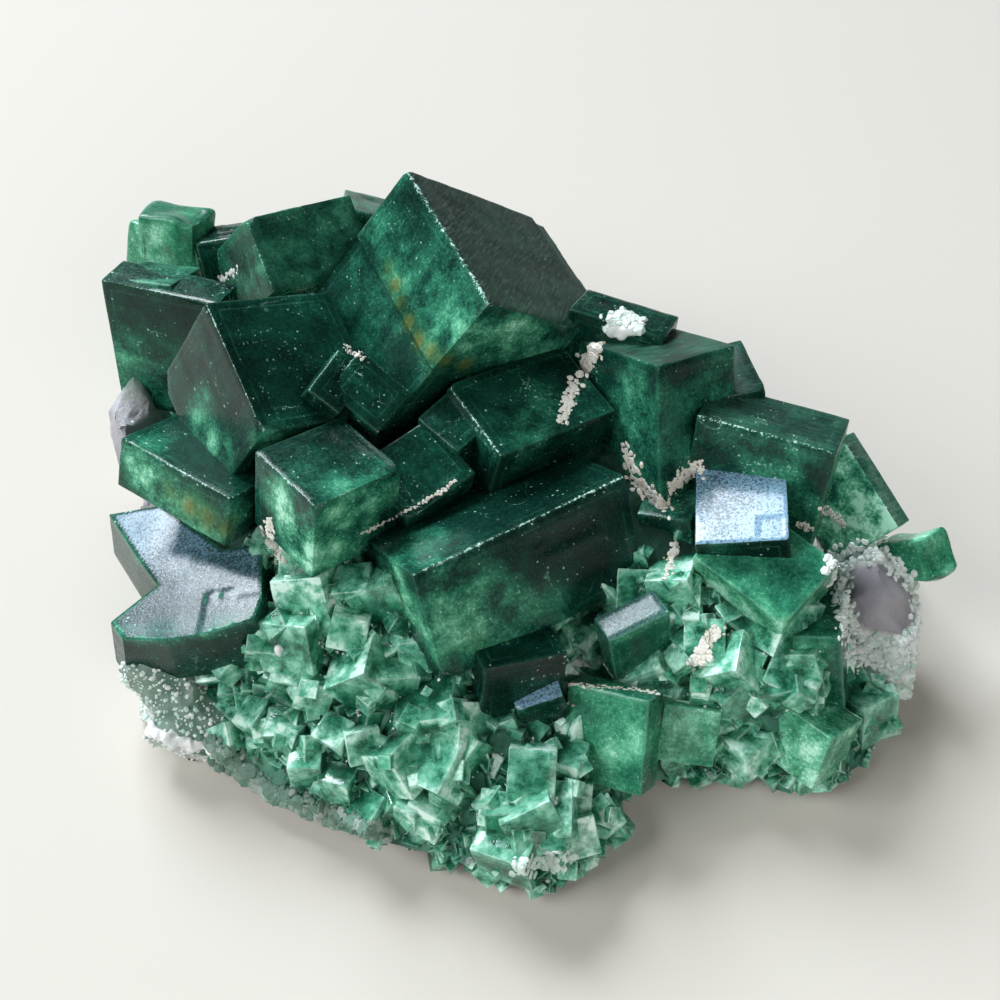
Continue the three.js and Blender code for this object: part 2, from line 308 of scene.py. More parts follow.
        # Grey-green etched faces, finely striated
        along = addNode(tree, "ShaderNodeMapping", {"Vector": grain, "Scale": (0.35, 3.4, 1.0)}).outputs[0]
        lines = addNode(tree, "ShaderNodeTexNoise", {
            "Vector": along, "Scale": 1.0, "Detail": 4.0, "Roughness": 0.75}).outputs[0]
        linesWide = addNode(tree, "ShaderNodeMapRange", {
            "Value": lines, "From Min": 0.36, "From Max": 0.66}).outputs[0]
        greys = addNode(tree, "ShaderNodeValToRGB", {"Fac": linesWide}, stops=[
            (0.0, "#0c1d17"), (1.0, "#55695f"), (0.55, "#22362e")]).outputs[0]
        matt = addNode(tree, "ShaderNodeMath", {0: drift, 1: 0.35, 2: 0.6}, operation="MULTIPLY_ADD").outputs[0]
        matt = addNode(tree, "ShaderNodeMath", {0: matt, 1: frost}, operation="MULTIPLY", use_clamp=True).outputs[0]
        body = addNode(tree, "ShaderNodeMix", {0: matt, 6: body, 7: greys}, data_type="RGBA").outputs[2]

        # Flat faces that catch the window: a real coat, plus a painted reflection in pale blue-grey mixed into the
        # colour, broken by dark pits
        pits = addNode(tree, "ShaderNodeTexNoise", {
            "Vector": place, "Scale": 3.6, "Detail": 3.0, "Roughness": 0.85}).outputs[0]
        pits = addNode(tree, "ShaderNodeMath", {0: cloud, 1: 0.15, 2: pits}, operation="MULTIPLY_ADD").outputs[0]
        pits = addNode(tree, "ShaderNodeMapRange", {"Value": pits, "From Min": 0.52, "From Max": 0.61}).outputs[0]
        shine = addNode(tree, "ShaderNodeMath", {0: pits, 1: -0.7, 2: 1.0}, operation="MULTIPLY_ADD").outputs[0]
        coat = addNode(tree, "ShaderNodeMath", {0: shine, 1: glare}, operation="MULTIPLY").outputs[0]
        paintedGlare = addNode(tree, "ShaderNodeMath", {0: coat, 1: 0.72}, operation="MULTIPLY").outputs[0]
        body = addNode(tree, "ShaderNodeMix", {0: paintedGlare, 6: body, 7: hexToLinear("#93bddb")},
                       data_type="RGBA").outputs[2]

        # A dotted pale line along the bruised edges: real chipping, painted a little brighter as glints
        patch = addNode(tree, "ShaderNodeMath", {0: drift, 1: 0.35, 2: -1.55}, operation="MULTIPLY_ADD").outputs[0]
        patch = addNode(tree, "ShaderNodeMath", {0: grit, 1: 0.95, 2: patch}, operation="MULTIPLY_ADD").outputs[0]
        bruiseAndGlint = addNode(tree, "ShaderNodeMath", {0: wear, 1: 1.1, 2: patch}, operation="MULTIPLY_ADD").outputs[0]
        bruiseAndGlint = addNode(tree, "ShaderNodeMath", {0: bruiseAndGlint, 1: 4.0}, operation="MULTIPLY", use_clamp=True).outputs[0]
        body = addNode(tree, "ShaderNodeMix", {0: bruiseAndGlint, 6: body, 7: hexToLinear("#b9dcd2")},
                       data_type="RGBA").outputs[2]
        covers += [(matt, 0.95), (rust, 0.6), (bruiseAndGlint, 1.0), (paintedGlare, 1.6)]
        rough = addNode(tree, "ShaderNodeMath", {0: matt, 1: 0.4, 2: rough}, operation="MULTIPLY_ADD").outputs[0]
        rough = addNode(tree, "ShaderNodeMath", {0: bruiseAndGlint, 1: 0.35, 2: rough}, operation="MULTIPLY_ADD").outputs[0]
        ridged = addNode(tree, "ShaderNodeMath", {0: lines, 1: frost}, operation="MULTIPLY").outputs[0]
        height = addNode(tree, "ShaderNodeMath", {0: ridged, 1: 1.8, 2: height}, operation="MULTIPLY_ADD").outputs[0]

    # Clear where there is neither milk nor any cover
    clear = addNode(tree, "ShaderNodeMath", {0: 1.0, 1: milk}, operation="SUBTRACT").outputs[0]
    for cover, share in covers:
        shut = addNode(tree, "ShaderNodeMath", {0: cover, 1: -share, 2: 1.0}, operation="MULTIPLY_ADD",
                       use_clamp=True).outputs[0]
        clear = addNode(tree, "ShaderNodeMath", {0: clear, 1: shut}, operation="MULTIPLY").outputs[0]
    clear = addNode(tree, "ShaderNodeMath", {0: clear, 1: look["transmission"]}, operation="MULTIPLY").outputs[0]
    bump = addNode(tree, "ShaderNodeBump", {"Height": height, "Strength": 0.2, "Distance": 0.0001}).outputs[0]
    surface = addNode(tree, "ShaderNodeBsdfPrincipled", {
        "Base Color": body, "Roughness": rough, "Normal": bump, "Transmission Weight": clear,
        "Coat Weight": coat, "IOR": 1.434, "Specular IOR Level": look["gloss"], "Coat Roughness": 0.22,
        "Coat IOR": 1.5})
    absorb = addNode(tree, "ShaderNodeVolumeAbsorption", {
        "Color": look["absorb"] + (1.0,), "Density": look["density"]})
    addNode(tree, "ShaderNodeOutputMaterial", {"Surface": surface.outputs[0], "Volume": absorb.outputs[0]})
    return material


darkGreen = crystalMaterial(darkFluorite)
seaGreen = crystalMaterial(midFluorite)
paleMint = crystalMaterial(crustFluorite)


def stoneMaterial(look):
    material = bpy.data.materials.new(look["name"])
    material.use_nodes = True
    tree = material.node_tree
    tree.nodes.clear()
    place = addNode(tree, "ShaderNodeTexCoord").outputs["Object"]
    place = addNode(tree, "ShaderNodeMapping", {"Vector": place, "Scale": (1000, 1000, 1000)}).outputs[0]
    tone = addNode(tree, "ShaderNodeAttribute", attribute_name="tone")
    split = addNode(tree, "ShaderNodeSeparateColor", {"Color": tone.outputs["Color"]})
    wide = addNode(tree, "ShaderNodeTexNoise", {
        "Vector": place, "Scale": 1 / look["patch"], "Detail": 6.0, "Roughness": 0.6}).outputs[0]
    fine = addNode(tree, "ShaderNodeTexNoise", {
        "Vector": place, "Scale": 1 / look["grain"], "Detail": 5.0, "Roughness": 0.7}).outputs[0]
    both = addNode(tree, "ShaderNodeMath", {0: fine, 1: 0.45, 2: -0.22}, operation="MULTIPLY_ADD").outputs[0]
    both = addNode(tree, "ShaderNodeMath", {0: wide, 1: both}, operation="ADD", use_clamp=True).outputs[0]
    body = addNode(tree, "ShaderNodeValToRGB", {"Fac": both}, stops=look["stops"]).outputs[0]
    rough = look["roughness"]
    for i, tint in enumerate(look["tints"]):        # by the tone's red, green and blue
        share = addNode(tree, "ShaderNodeMath", {0: wide, 1: 1.4, 2: 0.2}, operation="MULTIPLY_ADD").outputs[0]
        share = addNode(tree, "ShaderNodeMath", {0: split.outputs[i], 1: share}, operation="MULTIPLY",
                        use_clamp=True).outputs[0]
        body = addNode(tree, "ShaderNodeMix", {0: share, 6: body, 7: hexToLinear(tint)}, data_type="RGBA").outputs[2]
    bump = addNode(tree, "ShaderNodeBump", {
        "Height": fine, "Strength": look["bump"], "Distance": 0.0003}).outputs[0]
    surface = addNode(tree, "ShaderNodeBsdfPrincipled", {
        "Base Color": body, "Roughness": rough, "Normal": bump,
        "Transmission Weight": look["transmission"], "IOR": look["ior"],
        "Specular IOR Level": look.get("gloss", 0.5)})
    addNode(tree, "ShaderNodeOutputMaterial", {"Surface": surface.outputs[0]})
    return material


quartzRock = stoneMaterial({    # broken milky quartz: green where fluorite soaks it, one smooth lilac break, cream earth
    "name": "brokenMilkyQuartz", "patch": 5.0, "grain": 0.6, "bump": 0.6, "roughness": 0.5,
    "transmission": 0.0, "ior": 1.54, "tints": ["#5f8372", "#9a96a0", "#cdbb9c"],
    "stops": [(0.25, "#a3a89e"), (0.75, "#f8f8f6"), (0.45, "#d6d8d2"), (0.6, "#ebece8")],
})
sugarQuartz = stoneMaterial({   # glassy white grains of quartz, faintly mint
    "name": "sugaryQuartz", "patch": 3.0, "grain": 0.8, "bump": 0.2, "roughness": 0.22,
    "transmission": 0.1, "ior": 1.54, "tints": ["#b4e2ce", "#c9ccd6", "#e2d6bd"],
    "stops": [(0.25, "#dfeae5"), (0.75, "#ffffff"), (0.5, "#f6faf9")],
})
# The bed's second tint, dark teal, is painted shade where the bed lies between the large crystals
greenBed = stoneMaterial({      # massive fluorite under the crust, dull teal with mint patches
    "name": "massiveGreenFluorite", "patch": 5.0, "grain": 0.6, "bump": 0.5, "roughness": 0.55, "gloss": 0.2,
    "transmission": 0.0, "ior": 1.434, "tints": ["#a9d9c3", "#0f3328"],
    "stops": [(0.25, "#0f372c"), (0.75, "#4f9a7b"), (0.45, "#1b5544"), (0.6, "#2f745b")],
})
clay = stoneMaterial({          # dried cream clay with iron brown, quite dull
    "name": "driedClay", "patch": 1.2, "grain": 0.25, "bump": 1.0, "roughness": 0.95,
    "transmission": 0.0, "ior": 1.45, "tints": ["#8a5a28"],
    "stops": [(0.24, "#8f6636"), (0.62, "#fffdf6"), (0.32, "#dccfa9"), (0.42, "#f7f2e4")],
})
print("materials made")


# The large cubes. Edges named by their two faces are bruised by that much.
# milk is the cloudiness of the whole crystal, frost greys a face, and coat makes it catch the light and also paints a
# pale reflection into its colour.

crystals = {
    "crown": {"at": (-4.5, 8, 24.5), "size": (21.5, 20.5, 19.5), "turn": (-15, 38, 34), "piece": "crownCrystals",
              "milk": 0.14, "frost": {"+z": 1.0}, "chips": {"-x+z": 0.8, "-y+z": 0.4, "-x-y": 0.3},
              "chipWidth": 0.7, "grainTurn": 40,
              "layers": [("-x", (-10.25, 11.0), (-0.45, 10.0), 0.45)]},
    "crownStep": {"at": (-1, 12.5, 20.5), "size": (13, 16, 18.5), "turn": (-15, 38, 34),
                  "piece": "crownCrystals", "milk": 0.2, "frost": {"+z": 0.8, "-x": 0.3}},
    "back": {"at": (-26, 20.5, 21.5), "size": (14, 9, 16), "turn": (28, 30, 24), "piece": "backCrystals",
             "milk": 0.3, "frost": {"-x": 0.12, "+z": 0.3}, "chips": {"-x+z": 0.7, "-y+z": 0.3}},
    "backRight": {"at": (-17, 25, 19.5), "size": (8, 8, 12), "turn": (-23, 17, 9), "piece": "backCrystals",
                  "milk": 0.3, "chips": {"-x+z": 0.4}},
    "leftMiddle": {"at": (-25, -3.5, 24), "size": (15, 15.5, 15), "turn": (5, 31, 30),
                   "piece": "leftCrystals", "milk": 0.1, "frost": {"-x": 0.12}, "chips": {"-x+z": 0.9}},
    "leftUpper": {"at": (-38.5, 9, 19), "size": (14.5, 5, 17), "turn": (-13, 4, -16), "piece": "leftCrystals",
                  "milk": 0.16, "chips": {"-y+z": 0.6}},
    "leftSlab": {"at": (-40, 12.8, 24.8), "size": (7.5, 7, 3.4), "turn": (-24, 2, -15), "piece": "leftCrystals",
                 "milk": 0.35, "frost": {"+z": 0.3}, "chips": {"-y+z": 0.5}},
    "leftLow": {"at": (-31.8, -11.5, 20), "size": (15.2, 10, 6), "turn": (-22, 13, -30),
                "piece": "leftCrystals", "milk": 0.14, "chips": {"-y+z": 0.8, "+x+z": 0.7}},
    "frontLeft": {"at": (-17.5, -18, 25), "size": (10.5, 10, 9.5), "turn": (-13, 8, 43),
                  "piece": "leftCrystals", "milk": 0.12, "chips": {"-x+z": 0.8, "-y+z": 0.65, "-x-y": 0.3}},
    "frontBlock": {"at": (0.5, -20.5, 17.5), "size": (25, 12.5, 12.5), "turn": (-28, -12, 31),
                   "piece": "frontCrystals", "milk": 0.1, "chips": {"-y+z": 0.95, "-x+z": 0.3, "-x-y": 0.3}},
    "pedestal": {"at": (17, -4, 20.5), "size": (10.5, 15, 18), "turn": (-30, -4, 32), "piece": "rightCrystals",
                 "milk": 0.27, "frost": {"+z": 0.8}, "chips": {"-y+z": 0.3, "-x-y": 0.3}},
    "pedestalSide": {"at": (24, -2, 21.5), "size": (9, 9, 8), "turn": (-9, -10, 8), "piece": "rightCrystals",
                     "milk": 0.15, "frost": {"+z": 0.5}},
    "rightBlock": {"at": (28.2, -11.2, 20.3), "size": (14.5, 7.5, 14), "turn": (-17, 3, -25),
                   "piece": "rightCrystals", "milk": 0.22, "frost": {"+z": 0.65}, "chips": {"-y+z": 0.85}},
    "rightTable": {"at": (25.8, -17, 19), "size": (9.4, 11.2, 8), "turn": (-4, -14, -7),
                   "piece": "tableCrystals", "milk": 0.0, "coat": {"+z": 1.0}, "cell": 0.3,
                   "layers": [("+z", (-1.0, 0.6), (3.1, 3.9), 0.06), ("+z", (1.6, 4.4), (-5, -2.4), -0.05),
                              ("+z", (-4.3, -3.2), (-2.5, 5.2), -0.04)]},
    "centre": {"at": (2.5, -6, 21.5), "size": (15, 10.5, 10), "turn": (0, 11, 33), "piece": "middleCrystals",
               "milk": 0.12, "chips": {"-x+z": 0.9}},
    "centreLeft": {"at": (-4, -7.5, 22.5), "size": (6, 8, 8), "turn": (8, 3, -43), "piece": "middleCrystals",
                   "milk": 0.15, "chips": {"-y+z": 0.5, "+x+z": 0.5}},
    "valley": {"at": (-9, -13.5, 21), "size": (9, 8, 8), "turn": (12, 8, 40), "piece": "middleCrystals",
               "milk": 0.16},
    "smallStep": {"at": (-14.5, -6.5, 26.5), "size": (7, 6, 6), "turn": (21, 20, -36),
                  "piece": "middleCrystals", "milk": 0.12, "chips": {"+y+z": 0.7, "-x+z": 0.5}},
    "smallStepLeft": {"at": (-18, -6.5, 28), "size": (4, 6, 6), "turn": (20, 30, -31),
                      "piece": "middleCrystals", "milk": 0.1, "chips": {"-x+z": 0.6}},
    "rearSmall": {"at": (13.2, 3, 25.2), "size": (11, 6, 8), "turn": (-17, 7, -24), "piece": "middleCrystals",
                  "milk": 0.08},
    "farRight": {"at": (38.5, -10.8, 14.8), "size": (11.5, 2.6, 10), "turn": (6, 28, -58),
                 "piece": "rightCrystals", "milk": 0.75, "frost": {"+z": 1.0}, "chips": {"-y+z": 0.7},
                 "grainTurn": 90},
    "rightLump": {"at": (46.0, -17.2, 12.8), "size": (6, 6.4, 8), "turn": (25, 27, 22),
                  "piece": "lowCrystals", "milk": 0.45, "bevel": 1.4, "lump": 1.6},
    "lowRight": {"at": (27.5, -22, 15), "size": (11.5, 9, 12), "turn": (9, -6, -44), "piece": "lowCrystals",
                 "milk": 0.6},
    "lowRightFront": {"at": (33.2, -27.5, 11), "size": (6.8, 9, 9), "turn": (-27, -11, -20),
                      "piece": "lowCrystals", "milk": 0.22, "chips": {"-x-y": 0.9}},
    "frontRight": {"at": (11.5, -36.5, 9), "size": (9, 4, 10), "turn": (-46, 4, -30), "piece": "lowCrystals",
                   "milk": 0.3, "chips": {"-x-y": 0.4}},
    "darkFront": {"at": (1, -30.5, 12.5), "size": (9, 8, 8), "turn": (-20, 4, 20), "piece": "frontCrystals",
                  "milk": 0.05},
    "paleBack": {"at": (-40.7, 23.2, 18.8), "size": (9.4, 8, 15.5), "turn": (-22, 5, -10), "piece": "lowCrystals",
                 "milk": 0.38, "cell": 0.5, "bevel": 1.5, "lump": 2.0, "frost": {"+z": 0.3, "-y": 0.1}},
    "paleBackLeft": {"at": (-45, 25, 17), "size": (5, 6, 13), "turn": (-20, 14, -30), "piece": "lowCrystals",
                     "milk": 0.5, "bevel": 1.0, "lump": 1.2},
    "paleBackRight": {"at": (-34, 22.5, 17.5), "size": (7, 6, 12), "turn": (-20, -5, 13),
                      "piece": "backCrystals", "milk": 0.16, "bevel": 0.5, "chips": {"-x+z": 0.6, "-y+z": 0.5}},
    "middleLow": {"at": (19, -15, 15), "size": (6, 6, 8.5), "turn": (-13, -9, -22), "piece": "frontCrystals",
                  "milk": 0.25},
    "middleFront": {"at": (14, -27.5, 13.5), "size": (7, 3.5, 7), "turn": (-7, -10, 24),
                    "piece": "lowCrystals", "milk": 0.3, "coat": {"+z": 0.25}},
    "frontTable": {"at": (4.2, -32.6, 9.6), "size": (5, 6, 7), "turn": (-4, -14, 12), "piece": "tableCrystals",
                   "milk": 0.2, "coat": {"+z": 0.9}, "cell": 0.35},
    "lowMiddle": {"at": (19.5, -34.5, 6.5), "size": (6, 6, 6), "turn": (-45, 8, -2), "piece": "lowCrystals",
                  "milk": 0.6},
    "lowCorner": {"at": (32.5, -35.5, 6.5), "size": (7, 6, 7), "turn": (-25, 9, -48), "piece": "lowCrystals",
                  "milk": 0.62},
}

# Clouds and stains in a crystal: the place on the photograph (1000 x 1000), the radius in mm, and the strength. The
# clouds are partly real milkiness and partly painted light, lifting faces that lie in shade or that light shines
# through.
cloudsAndGlow = {
    "crown": [(412, 200, 3.0, 0.05), (402, 228, 2.0, 0.18), (425, 240, 3.0, 0.12), (425, 285, 2.6, 0.28),
              (447, 312, 2.8, 0.36), (440, 340, 2.4, 0.5), (478, 335, 2.6, 0.6), (505, 345, 3.0, 0.5),
              (535, 355, 3.0, 0.5), (515, 322, 2.0, 0.62), (545, 335, 2.4, 0.5), (575, 345, 2.6, 0.36),
              (590, 322, 2.0, 0.12)],
    "crownStep": [(395, 255, 2.0, 0.14), (345, 285, 2.5, 0.12), (368, 300, 2.0, 0.34), (352, 325, 1.6, 0.4)],
    "back": [(300, 240, 4.0, 0.42), (275, 225, 2.5, 0.25), (335, 222, 3.0, 0.45), (310, 280, 2.6, 0.45)],
    "backRight": [(350, 200, 2.5, 0.35), (368, 212, 2.0, 0.4)],
    "leftUpper": [(120, 300, 2.0, 0.12), (125, 350, 2.8, 0.4), (125, 385, 2.6, 0.55), (150, 330, 3.0, 0.12),
                  (165, 370, 2.6, 0.24), (185, 315, 2.5, 0.06), (145, 400, 2.5, 0.45)],
    "leftMiddle": [(240, 310, 3.0, 0.05), (300, 330, 4.0, 0.14), (280, 380, 3.5, 0.12), (310, 410, 3.0, 0.06),
                   (272, 442, 2.4, 0.45), (205, 398, 1.6, 0.5), (198, 422, 2.2, 0.7), (210, 442, 2.2, 0.7),
                   (225, 450, 1.8, 0.55), (190, 345, 2.2, 0.12), (225, 385, 1.6, 0.15)],
    "leftLow": [(150, 480, 2.4, 0.66), (178, 508, 2.4, 0.66), (205, 530, 2.2, 0.6), (150, 440, 2.5, 0.36), (185, 465, 3.0, 0.16), (225, 480, 2.2, 0.08), (135, 465, 2.0, 0.65),
                (162, 492, 2.2, 0.62), (190, 520, 2.2, 0.5), (235, 515, 2.0, 0.4)],
    "frontLeft": [(285, 505, 2.6, 0.66), (298, 545, 2.6, 0.7), (340, 430, 3.6, 0.03), (385, 440, 3.0, 0.05), (300, 460, 2.4, 0.16), (330, 480, 2.6, 0.24),
                  (275, 490, 1.8, 0.65), (292, 530, 2.6, 0.7), (305, 555, 2.2, 0.75), (335, 520, 2.4, 0.72),
                  (362, 498, 2.6, 0.62), (385, 488, 2.4, 0.62), (345, 545, 2.4, 0.64)],
    "centre": [(480, 400, 3.0, 0.12), (520, 385, 3.0, 0.06), (545, 400, 2.6, 0.28), (530, 430, 2.6, 0.3)],
    "frontBlock": [(520, 600, 4.5, 0.5), (400, 545, 2.2, 0.22), (430, 540, 2.6, 0.32), (470, 515, 3.0, 0.05), (560, 480, 4.0, 0.02),
                   (395, 575, 2.0, 0.72), (408, 605, 2.2, 0.75), (430, 640, 2.4, 0.6), (450, 575, 2.6, 0.36),
                   (440, 600, 2.4, 0.52), (470, 605, 3.0, 0.58), (505, 590, 2.8, 0.5), (465, 640, 2.6, 0.58),
                   (500, 635, 3.0, 0.64), (535, 615, 3.0, 0.58), (565, 610, 2.6, 0.45), (600, 560, 4.0, 0.03),
                   (540, 560, 3.5, 0.05), (620, 520, 3.0, 0.06)],
    "paleBack": [(150, 245, 2.6, 0.66), (180, 215, 3.0, 0.38), (190, 250, 2.6, 0.25), (140, 262, 2.0, 0.75)],
    "pedestal": [(628, 385, 2.4, 0.6), (640, 412, 2.6, 0.66), (630, 435, 2.6, 0.5), (605, 375, 2.0, 0.12),
                 (685, 370, 2.4, 0.08), (680, 410, 2.6, 0.24), (700, 430, 2.4, 0.2)],
    "rightBlock": [(715, 425, 2.2, 0.1), (745, 440, 2.6, 0.26), (800, 465, 2.6, 0.42), (800, 497, 2.4, 0.38),
                   (825, 480, 1.8, 0.12)],
    "farRight": [(845, 450, 1.6, 0.25), (850, 480, 2.2, 0.85), (862, 505, 2.4, 0.8), (885, 520, 2.2, 0.4),
                 (850, 530, 2.0, 0.3)],
    "lowRight": [(690, 575, 2.0, 0.75), (715, 592, 2.2, 0.78), (745, 610, 2.4, 0.72), (735, 560, 2.6, 0.32),
                 (775, 575, 2.8, 0.3), (800, 600, 2.4, 0.35), (760, 640, 2.4, 0.6), (810, 570, 2.0, 0.3)],
    "rightTable": [(715, 478, 2.2, 0.6), (712, 505, 2.2, 0.8), (735, 500, 2.2, 0.6), (722, 530, 1.8, 0.6),
                   (760, 480, 1.6, 0.35)],
    "frontRight": [(600, 700, 2.6, 0.42), (625, 718, 2.6, 0.3), (640, 745, 2.4, 0.5), (605, 762, 2.4, 0.55)],
}
stains = {
    "crown": [(388, 268, 1.0, 0.6), (395, 285, 1.0, 0.9), (401, 303, 1.0, 0.9), (408, 322, 1.1, 1.0),
              (418, 340, 1.2, 1.0), (432, 352, 1.2, 1.0), (446, 360, 1.1, 1.0), (465, 364, 1.1, 0.8)],
    "crownStep": [(350, 325, 1.2, 1.0), (362, 332, 1.0, 0.8)],
    "leftLow": [(170, 492, 1.4, 0.7), (190, 508, 1.5, 1.0), (208, 520, 1.6, 1.0), (225, 528, 1.5, 0.8)],
    "frontBlock": [(478, 645, 1.4, 0.4)],
    "rightBlock": [(828, 497, 0.8, 0.8)],
}


def marksIn(marks):
    found = [(spotOn(solidTrees, x, y)[0], radius, strength) for x, y, radius, strength in marks]
    return [(spot - planShift, radius, strength) for spot, radius, strength in found if spot is not None]


faceAxes = {"x": 0, "y": 1, "z": 2}


def axisLines(length, cell, bevel):
    inner = np.linspace(bevel - length / 2, length / 2 - bevel, max(3, round(length / cell)))
    ends = [-length / 2, -length / 2 + bevel * 0.4]
    return np.concatenate([ends, inner, [-ends[1], -ends[0]]])


def latticeBox(size, cell, bevel):      # points, faces of four, and the side each face is on
    lines = [axisLines(s, cell, bevel) for s in size]
    counts = [len(line) for line in lines]
    quads, sides = [], []
    for k in range(3):
        i, j = (k + 1) % 3, (k + 2) % 3
        for end in (0, 1):
            grid = np.zeros((counts[i], counts[j], 3), int)
            grid[..., i], grid[..., j] = np.meshgrid(np.arange(counts[i]), np.arange(counts[j]), indexing="ij")
            grid[..., k] = end * (counts[k] - 1)
            quad = np.stack([grid[:-1, :-1], grid[1:, :-1], grid[1:, 1:], grid[:-1, 1:]], axis=2)
            quads.append((quad if end else quad[:, :, ::-1]).reshape(-1, 4, 3))
            sides.append(np.full(len(quads[-1]), 2 * k + end))
    keys = np.concatenate(quads).reshape(-1, 3)
    code = keys[:, 0] + counts[0] * (keys[:, 1] + counts[1] * keys[:, 2])
    _, first, back = np.unique(code, return_index=True, return_inverse=True)
    points = np.stack([lines[k][keys[first, k]] for k in range(3)], axis=1)
    return points, back.reshape(-1, 4), np.concatenate(sides)


def sideOf(name):       # "+z" to its axis and direction
    return faceAxes[name[1]], 1 if name[0] == "+" else -1


def crystalParts(crystal, seed):
    size = np.array(crystal["size"], float)
    bevel = crystal.get("bevel", 0.22)
    points, faces, sides = latticeBox(size, crystal.get("cell", 0.55), bevel)
    half = size / 2
    inside = np.clip(points, bevel - half, half - bevel)
    out = points - inside
    out /= np.linalg.norm(out, axis=1)[:, None]
    flat = points.copy()
    points = inside + out * bevel
    chance = np.random.default_rng(seed)

    # Growth terraces: rectangles that stand a little proud, a few on each side
    terraces = list(crystal.get("layers", []))
    for name in ("-x", "+x", "-y", "+y", "-z", "+z"):
        k, _ = sideOf(name)
        spans = [size[(k + 1) % 3], size[(k + 2) % 3]]
        for _ in range(0 if name in crystal.get("coat", {}) else crystal.get("terraces", 7)):
            low = [(chance.random() - 0.55) * s for s in spans]
            reach = [(0.15 + 0.5 * chance.random()) * s for s in spans]
            rise = chance.choice([-1, 1]) * (0.03 + 0.05 * chance.random())
            terraces.append((name, (low[0], low[0] + reach[0]), (low[1], low[1] + reach[1]), rise))
    rise = np.zeros_like(points)
    zoning = np.zeros(len(points))
    wear = np.zeros(len(points))
    step = crystal.get("cell", 0.55)
    for name, (u0, u1), (v0, v1), height in terraces:
        k, way = sideOf(name)
        u, v = flat[:, (k + 1) % 3], flat[:, (k + 2) % 3]
        on = (flat[:, k] * way > half[k] - 1e-6) & (u > u0) & (u < u1) & (v > v0) & (v < v1)
        brim = on & ((u < u0 + step) | (u > u1 - step) | (v < v0 + step) | (v > v1 - step))
        rise[on, k] += way * height
        zoning[on] += np.clip(height, -0.08, 0.08) * 1.2
        wear[brim] = np.maximum(wear[brim], crystal.get("stepWear", 0.5) * min(1, 0.5 + 6 * abs(height)))
    for name, (u0, u1), (v0, v1), height in crystal.get("layers", []):
        k, way = sideOf(name)
        on = (flat[:, k] * way > half[k] - 1e-6)
        rise[on, k] -= way * max(height, 0)
    points += np.minimum(rise, 0.02) * (out > 0) + np.maximum(rise, -0.02) * (out < 0)

    for pair, amount in crystal.get("chips", {}).items():
        (a, wayA), (b, wayB) = sideOf(pair[:2]), sideOf(pair[2:])
        away = np.hypot(half[a] * wayA - flat[:, a], half[b] * wayB - flat[:, b])
        wear = np.maximum(wear, amount * np.exp(-(away / crystal.get("chipWidth", 0.3)) ** 2))
    for _ in range(crystal.get("cleaved", 3)):      # corners broken off flat, as fluorite cleaves
        way = chance.choice([-1, 1], 3) / math.sqrt(3)
        cut = min(size) * (0.02 + 0.1 * chance.random() ** 2)
        over = np.maximum(points @ way - (np.abs(way) @ half - cut), 0)
        points -= over[:, None] * way
    world = points @ turnMatrix(crystal["turn"]).T + np.array(crystal["at"])
    edges = np.sort(half - np.abs(flat), axis=1)[:, 1]      # distance to the nearest edge
    rare = np.clip(fieldNoise(world, 4.5, seed + 2) - 0.45, 0, 1) * 2.5
    bite = np.clip(fieldNoise(world, 1.3, seed) - 0.5, 0, 1) * np.exp(-(edges / 0.45) ** 2)
    depth = bite * (0.1 + 0.45 * wear) * (0.3 + rare)
    depth += 0.05 * (fieldNoise(world, 5.0, seed + 1) - 0.5)
    depth += crystal.get("lump", 0) * fieldNoise(world, 4.0, seed + 3)
    points -= out * depth[:, None]
    world = points @ turnMatrix(crystal["turn"]).T + np.array(crystal["at"])

    # What the shader needs to know: milk, frost, stain and coat, and the distance to the face's border
    milk = crystal["milk"] + zoning
    for spot, radius, amount in marksIn(cloudsAndGlow.get(crystal.get("name"), [])):
        near = np.exp(-(np.linalg.norm(world - spot, axis=1) / radius) ** 2)
        milk = milk * (1 - near) + amount * near
    rust = np.zeros(len(points))
    for spot, radius, amount in marksIn(stains.get(crystal.get("name"), [])):
        rust = np.maximum(rust, amount * np.exp(-(np.linalg.norm(world - spot, axis=1) / radius) ** 2))
    tones = np.stack([milk, np.zeros_like(milk), rust, np.zeros_like(milk)], axis=1)[faces]
    sideLift = 1 + crystal.get("faceSpread", 0.15) * chance.uniform(-1, 1, 6)
    tones[:, :, 0] = np.clip(tones[:, :, 0] * sideLift[sides][:, None], 0, 1)
    for channel, key in ((1, "frost"), (3, "coat")):
        for name, amount in crystal.get(key, {}).items():
            k, way = sideOf(name)
            tones[sides == 2 * k + (way > 0), :, channel] = amount
    rim = np.zeros(faces.shape)
    grain = np.zeros(faces.shape + (2,))
    for side in range(6):
        k = side // 2
        pick = sides == side
        u, v = flat[faces[pick]][..., (k + 1) % 3], flat[faces[pick]][..., (k + 2) % 3]
        rim[pick] = np.minimum(half[(k + 1) % 3] - np.abs(u), half[(k + 2) % 3] - np.abs(v))
        lean = math.radians(crystal.get("grainTurn", 0))
        grain[pick] = np.stack([u * math.cos(lean) + v * math.sin(lean), v * math.cos(lean) - u * math.sin(lean)],
                               axis=-1)
    return world, faces, tones, wear, rim, grain


def joinParts(name, parts):
    offset, stacked = 0, []
    for world, faces, tones, wear, rim, grain in parts:
        stacked.append((world, faces + offset, tones, wear, rim, grain))
        offset += len(world)
    world, faces, tones, wear, rim, grain = (np.concatenate([part[i] for part in stacked]) for i in range(6))
    world[:, 2] = np.maximum(world[:, 2], 0.5)      # nothing reaches the ground
    return quadMesh(name, world + planShift, faces, tones, wear, rim, grain)


